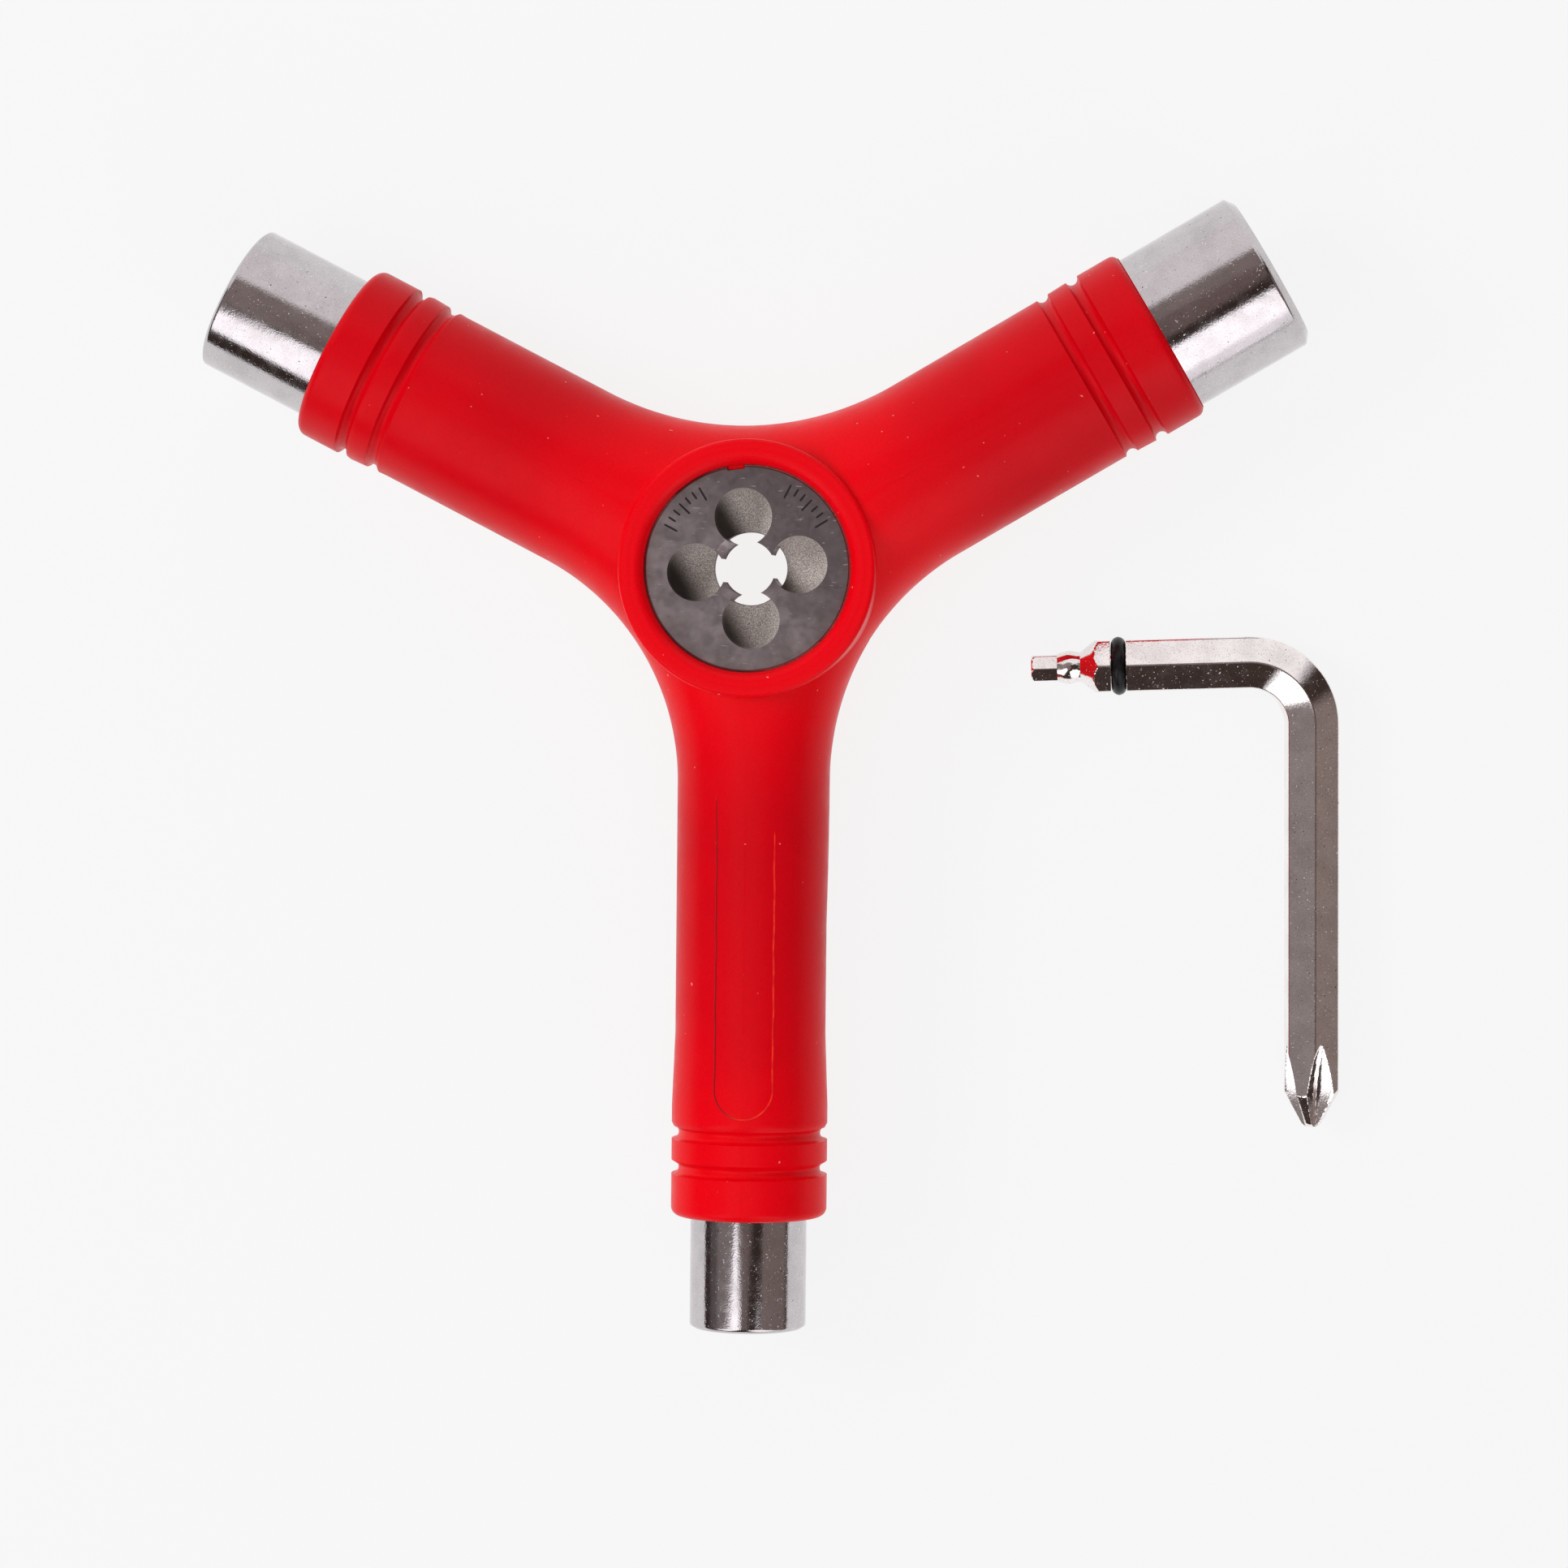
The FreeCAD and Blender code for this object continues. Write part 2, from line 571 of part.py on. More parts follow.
def make_socket(label, prefix, side, rear):
    """Steel socket, turned about its own Z, which then lies along its arm.

    rear is ("round", radius cell) for a bolt relief behind the hexagon, or
    ("hex", flats cell) for the hexagon that stores the key.
    """
    body = doc.addObject("PartDesign::Body", label)
    collar = "$%s_end" % side
    start = "$%s_start" % prefix
    end = "$%s_end" % prefix
    full = "$%s_radius" % prefix
    chamfer = "$%s_chamfer" % prefix
    shank = "$%s_shank" % prefix
    profile = new_sketch(body, label + "_profile", "XZ_Plane")
    outline(profile, [
        ("0", start),
        (shank + " - $shank_edge", start),
        (shank, start + " + $shank_edge"),
        (shank, collar + " - $shoulder_in"),
        (full, collar + " - $shoulder_in"),
        (full, "%s - %s" % (end, chamfer)),
        ("%s - %s * $chamfer_share" % (full, chamfer), end),
        ("0", end),
    ])
    checked(body, revolve(body, "Revolution", profile, "V_Axis"), smaller=False)

    at_mouth = Placement(Vector(0, 0, number(end)), Rotation())
    drive = new_sketch(body, label + "_hex", "XY_Plane", at_mouth)
    drive.setExpression("AttachmentOffset.Base.z", cell(end))
    hexagon(drive, "$%s_hex" % prefix, 0)
    pocket_through(body, drive, "$%s_depth" % prefix)

    behind = new_sketch(body, label + "_behind", "XY_Plane", at_mouth)
    behind.setExpression("AttachmentOffset.Base.z", cell(end))
    shape, width = rear
    if shape == "round":
        circle(behind, width)
        pocket_through(body, behind, "%s - %s - $relief_wall" % (end, start))
    else:
        hexagon(behind, width, 0)
        pocket_through(body, behind, "%s - $store_end" % end)

    mouth = new_sketch(body, label + "_mouth", "XZ_Plane")
    across = "$%s_hex / 2 / cos(30)" % prefix
    outline(mouth, [
        ("0", end + " + $overrun"),
        (across + " + $mouth_bevel * (1 - $bevel_share) + $overrun", end + " + $overrun"),
        ("%s - $mouth_bevel * $bevel_share" % across, end + " - $mouth_bevel"),
        ("0", end + " - $mouth_bevel"),
    ])
    checked(body, revolve(body, "Groove", mouth, "V_Axis"), smaller=True)

    for letter, half_turn in (("a", 0), ("b", 180)):
        turn = Rotation(Vector(0, 0, 1), half_turn)
        flat = new_sketch(body, "%s_flat_%s" % (label, letter), "XY_Plane",
                          Placement(Vector(0, 0, number(start + " + $flat_start + $flat_length")), turn))
        outline(flat, [
            ("-$arm_radius", "%s - $flat_depth" % shank),
            ("$arm_radius", "%s - $flat_depth" % shank),
            ("$arm_radius", "%s + $overrun" % shank),
            ("-$arm_radius", "%s + $overrun" % shank),
        ])
        pocket_through(body, flat, "$flat_length")

    # local Z runs out along the arm and local Y points up
    turn = Rotation(Vector(0, 0, 1), size(side + "_angle")).multiply(TURN_X)
    body.Placement = Placement(Vector(), turn)
    body.Label = label
    return body


def pocket_through(body, sketch, depth):
    """Pocket of a stated depth, towards the sketch's back."""
    pocket = body.newObject("PartDesign::Pocket", sketch.Name + "_cut")
    pocket.Profile = sketch
    pocket.setExpression("Length", cell(depth))
    body.Tip = pocket
    return checked(body, pocket, smaller=True)


# --------------------------------------------------------------------- die

def thread_profile():
    """Half-section of the die's bore: lead-in, thread and the relief behind it."""
    points = [
        ("$back_radius", "$die_bottom"),
        ("$back_radius", "$back_height"),
        ("$thread_minor", "$back_height"),
    ]
    first = size("back_height") + size("thread_start")
    last = size("die_top") - size("lead_depth")
    turns = int((last - first) / size("thread_pitch"))
    for turn in range(turns):
        low = "$back_height + $thread_start + %d * $thread_pitch" % turn
        points.append(("$thread_minor", low))
        points.append(("$thread_major", low + " + $thread_pitch * $crest_share"))
        points.append(("$thread_minor", low + " + $thread_pitch * $root_share"))
    points.append(("$thread_minor", "$die_top - $lead_depth"))
    points.append(("$lead_radius", "$die_top"))
    return points


def make_die():
    body = doc.addObject("PartDesign::Body", "thread_die")
    blank = new_sketch(body, "die_profile", "XZ_Plane")
    outline(blank, thread_profile() + [
        ("$die_radius - $die_edge", "$die_top"),
        ("$die_radius", "$die_top - $die_edge"),
        ("$die_radius", "$die_bottom + $die_edge"),
        ("$die_radius - $die_edge", "$die_bottom"),
    ])
    checked(body, revolve(body, "Revolution", blank, "V_Axis"), smaller=False)

    turn = Rotation(Vector(0, 0, 1), size("pocket_angle"))
    offset = Placement(turn.multVec(Vector(size("pocket_pitch"), 0, 0)), Rotation(Vector(1, 0, 0), 90))
    pocket = new_sketch(body, "chip_profile", "XY_Plane", offset)
    outline(pocket, [
        ("0", "$pocket_floor",
         ("$pocket_radius * $floor_middle", "$pocket_floor + $pocket_radius * $floor_rise")),
        ("$pocket_radius", "$pocket_floor + $pocket_radius * $floor_edge"),
        ("$pocket_radius", "$die_top + $overrun"),
        ("0", "$die_top + $overrun"),
    ])
    groove = checked(body, revolve(body, "Groove", pocket, "V_Axis"), smaller=True)
    opening = new_sketch(body, "chip_opening", "XY_Plane",
                         Placement(Vector(0, 0, size("die_top")), turn))
    along = "($clearance_radius^2 + $pocket_pitch^2 - $pocket_radius^2) / 2 / $pocket_pitch"
    across = "sqrt($clearance_radius^2 - (%s)^2)" % along
    outline(opening, [
        (along, "-" + across, ("$clearance_radius", "0")),
        (along, across, ("$pocket_pitch - $pocket_radius", "0")),
    ])
    clearance = pocket_through(body, opening, "$die_top - $die_bottom")
    pockets = body.newObject("PartDesign::PolarPattern", "chip_pockets")
    pockets.Originals = [groove, clearance]
    pockets.Axis = (axis_of(body, "Z_Axis"), [""])
    pockets.Angle = 360
    pockets.Occurrences = 4
    body.Tip = pockets
    checked(body, pockets, smaller=True)

    notch = new_sketch(body, "notch_outline", "XY_Plane",
                       Placement(Vector(0, 0, size("die_top")),
                                 Rotation(Vector(0, 0, 1), size("notch_angle"))))
    outline(notch, [
        ("$die_radius - $notch_depth", "-$notch_width / 2"),
        ("$die_radius + $overrun", "-$notch_width / 2"),
        ("$die_radius + $overrun", "$notch_width / 2"),
        ("$die_radius - $notch_depth", "$notch_width / 2"),
    ])
    pocket_through(body, notch, "$die_top - $die_bottom")
    body.Label = "thread_die"
    return body


def axis_of(body, role):
    return next(f for f in body.Origin.OriginFeatures if f.Role == role)


# --------------------------------------------------------------------- key

def key_placement():
    """The key lies on the corners of its bar, beside the handle."""
    height = -size("hub_half") + size("key_flats") / 2 / math.cos(math.radians(30))
    turn = Rotation(Vector(0, 0, 1), size("key_turn"))
    return Placement(Vector(size("key_x"), size("key_y"), height), turn)


def short_leg_frame():
    """Sketch offset whose X axis runs up the short leg from its tip."""
    lean = 270 - size("key_corner")
    out = Rotation(Vector(0, 0, 1), lean)
    tip = out.multVec(Vector(size("key_short"), 0, 0))
    return Placement(tip, Rotation(Vector(0, 0, 1), lean - 180))


def make_key():
    """Bent hexagon bar with a cross point on the long leg, a small hexagon on
    the short one and a groove for the rubber ring.  Local origin: the place
    where the legs' axes cross; the long leg runs along -Y."""
    body = doc.addObject("PartDesign::Body", "l_key")
    lean = math.radians(270 - size("key_corner"))
    along = Vector(math.cos(lean), math.sin(lean), 0)
    half_turn = math.radians(180 - size("key_corner")) / 2
    trim = size("key_bend") * math.tan(half_turn)
    foot = Vector(0, -size("key_long"), 0)
    bend_in = Vector(0, -trim, 0)
    bend_out = along * trim
    bisector = (along + Vector(0, -1, 0)).normalize()
    centre = bisector * (size("key_bend") / math.cos(half_turn))
    through = centre - bisector * size("key_bend")
    leg_end = along * size("key_short")

    path = new_sketch(body, "bar_path", "XY_Plane")
    path.addGeometry(Part.LineSegment(foot, bend_in))
    path.addGeometry(Part.Arc(bend_in, through, bend_out))
    path.addGeometry(Part.LineSegment(bend_out, leg_end))
    section = new_sketch(body, "bar_section", "XZ_Plane",
                         Placement(Vector(0, 0, size("key_long")), Rotation()))
    hexagon(section, "$key_flats", 90)
    bar = body.newObject("PartDesign::AdditivePipe", "bar")
    bar.Profile = section
    bar.Spine = (path, ["Edge1", "Edge2", "Edge3"])
    body.Tip = bar
    checked(body, bar, smaller=False)

    frame = short_leg_frame()
    neck = new_sketch(body, "neck_profile", "XY_Plane", frame)
    outline(neck, [
        ("-$overrun", "0"),
        ("$tip_length", "0"),
        ("$tip_length", "$neck_radius - $neck_step", ("$bead_station", "$bead_radius")),
        ("$neck_station", "$neck_radius"),
        ("$cone_station", "$key_flats / 2 / cos(30)"),
        ("$cone_station", "$key_flats"),
        ("-$overrun", "$key_flats"),
    ])
    checked(body, revolve(body, "Groove", neck, "H_Axis"), smaller=True)

    ring_seat = new_sketch(body, "ring_seat_profile", "XY_Plane", frame)
    root = "$ring_centre - $ring_section - $ring_gap"
    outline(ring_seat, [
        ("$ring_station - $ring_groove / 2", root),
        ("$ring_station + $ring_groove / 2", root),
        ("$ring_station + $ring_groove / 2", "$key_flats"),
        ("$ring_station - $ring_groove / 2", "$key_flats"),
    ])
    checked(body, revolve(body, "Groove", ring_seat, "H_Axis"), smaller=True)

    tip = new_sketch(body, "tip_section", "XY_Plane",
                     frame.multiply(Placement(Vector(), TURN_X)))
    hexagon(tip, "$tip_flats", 90)
    tip_pad = body.newObject("PartDesign::Pad", "tip_pad")
    tip_pad.Profile = tip
    bind(tip_pad, Length="$tip_length + $tip_root")
    body.Tip = tip_pad
    checked(body, tip_pad, smaller=False)

    point = new_sketch(body, "point_profile", "XY_Plane")
    outline(point, [
        ("0", "-$key_long - $overrun"),
        ("0", "-$key_long"),
        ("$cross_blunt - $cross_bevel", "-$key_long"),
        ("$cross_blunt", "-$key_long + $cross_bevel"),
        ("$key_flats / 2 / cos(30)", "-$key_long + $cross_cone"),
        ("$key_flats", "-$key_long + $cross_cone"),
        ("$key_flats", "-$key_long - $overrun"),
    ])
    checked(body, revolve(body, "Groove", point, "V_Axis"), smaller=True)
    cut_flutes(body)
    body.Placement = key_placement()
    body.Label = "l_key"
    return body


def cut_flutes(body):
    """Four flutes of the cross point, ground by a wheel with a vee rim."""
    flute = new_sketch(body, "flute_profile", "XZ_Plane",
                       Placement(Vector(0, 0, size("key_long")),
                                 Rotation(Vector(0, 0, 1), -size("flute_angle"))))
    outline(flute, [
        ("-$flute_flat", "$flute_root"),
        ("$flute_flat", "$flute_root"),
        ("$key_flats + $flute_flat", "$flute_root + $key_flats"),
        ("-$key_flats - $flute_flat", "$flute_root + $key_flats"),
    ])
    height = size("flute_root") + size("flute_wheel")
    flute.addGeometry(Part.LineSegment(Vector(-1, height, 0), Vector(1, height, 0)), True)
    ground = checked(body, revolve(body, "Groove", flute, "Axis0"), smaller=True)
    flutes = body.newObject("PartDesign::PolarPattern", "flutes")
    flutes.Originals = [ground]
    flutes.Axis = (axis_of(body, "Y_Axis"), [""])
    flutes.Angle = 360
    flutes.Occurrences = 4
    body.Tip = flutes
    checked(body, flutes, smaller=True)


def make_ring():
    """Rubber ring in the groove of the key's short leg."""
    body = doc.addObject("PartDesign::Body", "o_ring")
    section = new_sketch(body, "ring_section", "XZ_Plane")
    circle(section, "$ring_section", "$ring_centre", "0")
    checked(body, revolve(body, "Revolution", section, "V_Axis"), smaller=False)
    station = Placement(Vector(size("ring_station"), 0, 0), TURN_X)
    body.Placement = key_placement().multiply(short_leg_frame()).multiply(station)
    body.Label = "o_ring"
    return body


# ------------------------------------------------------------------- build

def build():
    parts = [
        make_handle(),
        make_socket("socket_nine_sixteenths", "large", "right", ("round", "$large_relief")),
        make_socket("socket_half_inch", "medium", "left", ("round", "$medium_relief")),
        make_socket("socket_three_eighths", "small", "lower", ("hex", "$store_hex")),
        make_die(),
        make_key(),
        make_ring(),
    ]
    doc.recompute()
    return parts


def export(parts):
    """Write each sub-part to its own file, once every one of them is sound."""
    for thing in doc.Objects:
        if "Invalid" in thing.State or "Error" in thing.State:
            raise RuntimeError("%s did not recompute: %s" % (thing.Name, thing.State))
    os.makedirs("parts", exist_ok=True)
    for part in parts:
        shape = part.Shape
        if shape.isNull() or not shape.isValid():
            raise RuntimeError("%s has no valid shape" % part.Label)
        shape.exportStep("parts/%s.step" % part.Label)
        print("%-24s %2d solid(s) %9.1f mm3" % (part.Label, len(shape.Solids), shape.Volume))


export(build())
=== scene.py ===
import json
import math

import bmesh
import bpy
from mathutils import Matrix, Vector


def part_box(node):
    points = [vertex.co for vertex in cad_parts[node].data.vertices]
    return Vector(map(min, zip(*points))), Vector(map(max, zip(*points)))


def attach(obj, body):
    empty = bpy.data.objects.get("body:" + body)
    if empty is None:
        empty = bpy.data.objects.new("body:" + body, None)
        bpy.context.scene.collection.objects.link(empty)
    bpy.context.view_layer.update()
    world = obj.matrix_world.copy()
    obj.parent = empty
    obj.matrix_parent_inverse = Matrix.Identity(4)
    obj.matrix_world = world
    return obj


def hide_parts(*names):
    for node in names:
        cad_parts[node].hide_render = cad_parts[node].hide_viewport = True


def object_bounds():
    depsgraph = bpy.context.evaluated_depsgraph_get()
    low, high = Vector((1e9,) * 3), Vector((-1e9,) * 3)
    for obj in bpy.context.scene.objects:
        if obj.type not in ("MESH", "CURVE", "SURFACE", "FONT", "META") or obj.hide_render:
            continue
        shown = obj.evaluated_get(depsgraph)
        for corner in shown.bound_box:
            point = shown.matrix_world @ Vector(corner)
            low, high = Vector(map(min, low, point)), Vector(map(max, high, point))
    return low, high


# Three-armed hand tool with sockets and a thread die, and its bent key.
# Lengths are written in millimetres and turned into metres by MM; only the
# floor, the lamps and the camera's clipping are written in metres. The frame
# is the CAD model's: origin in the middle of the hub, +Z out of the die's
# face, the long arm along -Y.

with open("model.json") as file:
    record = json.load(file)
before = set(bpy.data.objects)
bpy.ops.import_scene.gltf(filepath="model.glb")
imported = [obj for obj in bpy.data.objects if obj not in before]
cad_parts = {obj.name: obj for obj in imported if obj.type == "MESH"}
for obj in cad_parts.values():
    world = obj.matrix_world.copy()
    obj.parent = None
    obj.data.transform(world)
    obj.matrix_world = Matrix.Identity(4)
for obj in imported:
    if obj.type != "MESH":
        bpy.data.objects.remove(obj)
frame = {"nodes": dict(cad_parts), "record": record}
cad_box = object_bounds()

MM = 0.001
mounts = {mount["name"]: mount for mount in frame["record"]["mounts"]}
scene = bpy.context.scene


def mount_place(name):
    """Position in millimetres and unit direction of one of the record's mounts."""
    mount = mounts[name]
    return Vector(mount["pos_m"]) / MM, Vector(mount["axis"]).normalized()


def node_top(name):
    """Highest point of a CAD node, in millimetres."""
    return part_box(name)[1].z / MM


# ------------------------------------------------------------ mesh helpers

HALF_SIDE = math.pi / 6     # half of the angle that a hexagon's side covers
STEP_WALL = 0.01        # keeps the two rings of a square step apart


def share_of(low, high, value):
    """How far value is on its way from low to high, kept between 0 and 1."""
    return min(1.0, max(0.0, (value - low) / (high - low)))


def smoothstep(low, high, value):
    """Smooth rise from 0 to 1 while value runs from low to high."""
    share = share_of(low, high, value)
    return share * share * (3 - 2 * share)


def finish_mesh(bm, name, material, body, sharp_angle, matrix=None):
    """Turn a bmesh in millimetres into a piece that rides on a body; its edges
    are smooth where they bend by less than sharp_angle, in degrees."""
    bmesh.ops.recalc_face_normals(bm, faces=bm.faces)
    for face in bm.faces:
        face.smooth = True
    for edge in bm.edges:
        edge.smooth = edge.calc_face_angle(0.0) < math.radians(sharp_angle)
    bmesh.ops.scale(bm, vec=(MM, MM, MM), verts=bm.verts)
    mesh = bpy.data.meshes.new(name)
    bm.to_mesh(mesh)
    bm.free()
    mesh.materials.append(material)
    piece = bpy.data.objects.new(name, mesh)
    scene.collection.objects.link(piece)
    if matrix is not None:
        piece.matrix_world = matrix
    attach(piece, body)
    return piece


def add_rings(bm, rings, cap_last=True, closed=False):
    """Skin of quads through rings that all have the same number of points. Its
    ends are capped, the last one only if cap_last is true; a closed skin joins
    its last ring to its first one and has no caps."""
    rows = [[bm.verts.new(point) for point in ring] for ring in rings]
    count = len(rows[0])
    pairs = list(zip(rows, rows[1:]))
    if closed:
        pairs.append((rows[-1], rows[0]))
    for lower, upper in pairs:
        for index in range(count):
            after = (index + 1) % count
            bm.faces.new((lower[index], lower[after], upper[after], upper[index]))
    if not closed:
        bm.faces.new(list(reversed(rows[0])))
    if cap_last and not closed:
        bm.faces.new(rows[-1])


def turned(profile, segments, shape=None):
    """Rings about +Z from (radius, height) pairs; shape may widen or narrow
    a ring's radius by angle."""
    rings = []
    for radius, height in profile:
        ring = []
        for step in range(segments):
            angle = 2 * math.pi * step / segments
            reach = radius if shape is None else shape(radius, angle)
            ring.append(Vector((reach * math.cos(angle), reach * math.sin(angle), height)))
        rings.append(ring)
    return rings


def corner_radius(flats):
    """Distance from a hexagon's centre to its sharp corners."""
    return flats / 2 / math.cos(HALF_SIDE)


def hexagon_radius(flats, angle, corner_round):
    """Distance from a hexagon's centre to its side; a corner lies at angle 0."""
    from_corner = abs((angle + HALF_SIDE) % (2 * HALF_SIDE) - HALF_SIDE)
    centre = (flats / 2 - corner_round) / math.cos(HALF_SIDE)
    tangent = math.atan2(corner_round / 2, centre + corner_round * math.cos(HALF_SIDE))
    if from_corner >= tangent:
        return flats / 2 / math.cos(HALF_SIDE - from_corner)
    across = centre * math.sin(from_corner)
    return centre * math.cos(from_corner) + math.sqrt(corner_round ** 2 - across ** 2)


def arc_points(centre, radius, start, stop, steps):
    """(radius, height) pairs along an arc; angles in degrees."""
    points = []
    for step in range(steps + 1):
        angle = math.radians(start + (stop - start) * step / steps)
        points.append((centre[0] + radius * math.cos(angle),
                       centre[1] + radius * math.sin(angle)))
    return points


# --------------------------------------------------------------- materials

def feed(tree, socket, value):
    """Give an input a number, a colour or another node's output."""
    if isinstance(value, bpy.types.NodeSocket):
        tree.links.new(value, socket)
    else:
        socket.default_value = value


def add_node(tree, kind, inputs, **settings):
    """A shader node with its settings and what is fed into its inputs."""
    node = tree.nodes.new(kind)
    for name, value in settings.items():
        setattr(node, name, value)
    for name, value in inputs.items():
        feed(tree, node.inputs[name], value)
    return node


def math_node(tree, operation, first, second=0.0):
    """Result of a calculation with one or two values."""
    node = add_node(tree, "ShaderNodeMath", {}, operation=operation)
    for socket, value in zip(node.inputs, (first, second)):
        feed(tree, socket, value)
    return node.outputs[0]


def split(tree, vector):
    """The X, Y and Z of a vector."""
    return tuple(add_node(tree, "ShaderNodeSeparateXYZ", {"Vector": vector}).outputs)


def flat_length(tree, x, y):
    """Distance from the Z axis."""
    squares = [math_node(tree, "MULTIPLY", part, part) for part in (x, y)]
    return math_node(tree, "SQRT", math_node(tree, "ADD", *squares))


def ramp(tree, value, low, high, start=0.0, stop=1.0):
    """Smooth change from start to stop while value runs from low to high."""
    inputs = {"Value": value, "From Min": low, "From Max": high, "To Min": start, "To Max": stop}
    node = add_node(tree, "ShaderNodeMapRange", inputs, interpolation_type="SMOOTHSTEP")
    return node.outputs["Result"]


def noise(tree, place, grain, detail=2.0, stretch=(1, 1, 1)):
    """Noise whose grain is a size in millimetres."""
    scaled = add_node(tree, "ShaderNodeMapping", {"Vector": place, "Scale": stretch})
    inputs = {"Vector": scaled.outputs["Vector"], "Scale": 1 / (grain * MM), "Detail": detail}
    return add_node(tree, "ShaderNodeTexNoise", inputs).outputs["Fac"]


def mix_colour(tree, share, first, second):
    """Colour that goes from first to second as share goes from 0 to 1."""
    node = add_node(tree, "ShaderNodeMix", {}, data_type="RGBA")
    for index, value in ((0, share), (6, first), (7, second)):
        feed(tree, node.inputs[index], value)
    return node.outputs[2]


def bump(tree, height, depth, under=None):
    """Bump from a height between 0 and 1; depth is in millimetres."""
    inputs = {"Height": height, "Distance": depth * MM, "Strength": 1.0}
    if under is not None:
        inputs["Normal"] = under
    return add_node(tree, "ShaderNodeBump", inputs).outputs["Normal"]


def new_material(name, **constants):
    """Material with a Principled shader; returns it, its tree, shader and place."""
    material = bpy.data.materials.new(name)
    material.use_nodes = True
    tree = material.node_tree
    shader = tree.nodes["Principled BSDF"]
    for socket, value in constants.items():
        shader.inputs[socket.replace("_", " ")].default_value = value
    place = tree.nodes.new("ShaderNodeTexCoord").outputs["Object"]
    return material, tree, shader, place


def red_plastic():
    """Moulded nylon: fine spark-eroded grain, dust specks, random cloudy tone, and
    a painted light that makes the red lighter at the hub and at the long arm's end."""
    material, tree, shader, place = new_material("red_plastic", Specular_IOR_Level=0.10, IOR=1.5)
    x, y, _ = split(tree, place)
    # painted light: the red is made lighter near the hub and at the long arm's end; the clouds add
    # random tone
    lit_near_hub = ramp(tree, flat_length(tree, x, y), 36 * MM, 13 * MM)
    lit_near_end = ramp(tree, y, -45 * MM, -80 * MM)
    clouds = noise(tree, place, 14.0, 3.0)
    painted_light_and_clouds = math_node(tree, "MAXIMUM", lit_near_hub, lit_near_end)
    painted_light_and_clouds = math_node(tree, "ADD", painted_light_and_clouds, ramp(tree, clouds, 0.3, 0.7, 0.0, 0.25))
    red = mix_colour(tree, painted_light_and_clouds, (0.64, 0.0008, 0.0070, 1), (0.88, 0.0003, 0.0065, 1))
    grit = noise(tree, place, 0.30, 2.0)
    red = mix_colour(tree, ramp(tree, grit, 0.60, 0.40, 0.0, 0.09), red, (0.30, 0.0, 0.002, 1))
    specks = ramp(tree, noise(tree, place, 0.8, 1.0), 0.785, 0.81)
    red = mix_colour(tree, specks, red, (0.9, 0.20, 0.17, 1))
    tree.links.new(red, shader.inputs["Base Color"])
    rough = ramp(tree, noise(tree, place, 2.5, 3.0), 0.3, 0.7, 0.30, 0.38)
    tree.links.new(rough, shader.inputs["Roughness"])
    grain = bump(tree, grit, 0.018)
    flow = bump(tree, noise(tree, place, 5.0, 1.0), 0.03, grain)
    tree.links.new(flow, shader.inputs["Normal"])
    return material


def thin_flash():
    """The same nylon in a thin line, with painted shade on its left side and a
    painted orange glow on its right, as if light passed through it."""
    material, tree, shader, place = new_material("thin_flash", Specular_IOR_Level=0.3, Roughness=0.35)
    nicks = noise(tree, place, 1.3, 3.0)
    painted_glow_tones = mix_colour(tree, ramp(tree, nicks, 0.35, 0.65),
                        (0.80, 0.004, 0.006, 1), (1.0, 0.030, 0.008, 1))
    x, _, _ = split(tree, place)
    # painted shade: dark on the line's left; painted glow: orange on its right
    colour = mix_colour(tree, ramp(tree, x, -3 * MM, 1 * MM), (0.34, 0.0, 0.003, 1), painted_glow_tones)
    tree.links.new(colour, shader.inputs["Base Color"])
    return material


def plated_steel(name, light, dark, rough_low, rough_high, pit_depth):
    """Nickel-chrome plating with an orange-peel surface, blotches, a fine dark
    grain, bright dull flecks and dark pits."""
    material, tree, shader, place = new_material(name, Metallic=1.0)
    clouds = noise(tree, place, 3.0, 4.0)
    colour = mix_colour(tree, ramp(tree, clouds, 0.35, 0.7), light, dark)
    grain = ramp(tree, noise(tree, place, 0.17, 3.0), 0.50, 0.64, 0.0, 0.30)
    colour = mix_colour(tree, grain, colour, (0.34, 0.31, 0.31, 1))
    flecks = ramp(tree, noise(tree, place, 0.26, 2.0), 0.66, 0.72)
    colour = mix_colour(tree, flecks, colour, (0.95, 0.93, 0.93, 1))
    pits = ramp(tree, noise(tree, place, 0.34, 2.0), 0.70, 0.76)
    colour = mix_colour(tree, pits, colour, (0.12, 0.10, 0.09, 1))
    tree.links.new(colour, shader.inputs["Base Color"])
    rough = ramp(tree, noise(tree, place, 1.4, 3.0), 0.3, 0.75, rough_low, rough_high)
    rough = math_node(tree, "ADD", rough, math_node(tree, "MULTIPLY", flecks, 0.45))
    tree.links.new(rough, shader.inputs["Roughness"])
    peel = bump(tree, noise(tree, place, 0.55, 2.0), pit_depth)
    fine = bump(tree, noise(tree, place, 0.22, 1.0), pit_depth * 1.4, peel)
    tree.links.new(fine, shader.inputs["Normal"])
    return material


POCKET_PITCH = 6.35     # distance of the die's pockets from its axis
POCKET_FROM = 4.52      # nearer to the axis is the thread, which is not rough
SHADE_LEAN = (0.87, 0.5)  # direction from a pocket's painted-shade side to its lit side


def pocket_lean(tree, x, y):
    """Distance from the middle of the nearest of the die's four pockets, in the
    direction from its painted-shade side to its lit side."""
    beside = math_node(tree, "GREATER_THAN", math_node(tree, "ABSOLUTE", x),
                       math_node(tree, "ABSOLUTE", y))
    above = math_node(tree, "SUBTRACT", 1.0, beside)
    leans = []
    for part, chosen, lean in ((x, beside, SHADE_LEAN[0]), (y, above, SHADE_LEAN[1])):
        side = math_node(tree, "MULTIPLY", math_node(tree, "SIGN", part), chosen)
        middle = math_node(tree, "MULTIPLY", side, POCKET_PITCH * MM)
        leans.append(math_node(tree, "MULTIPLY", math_node(tree, "SUBTRACT", part, middle), lean))
    return math_node(tree, "ADD", *leans)


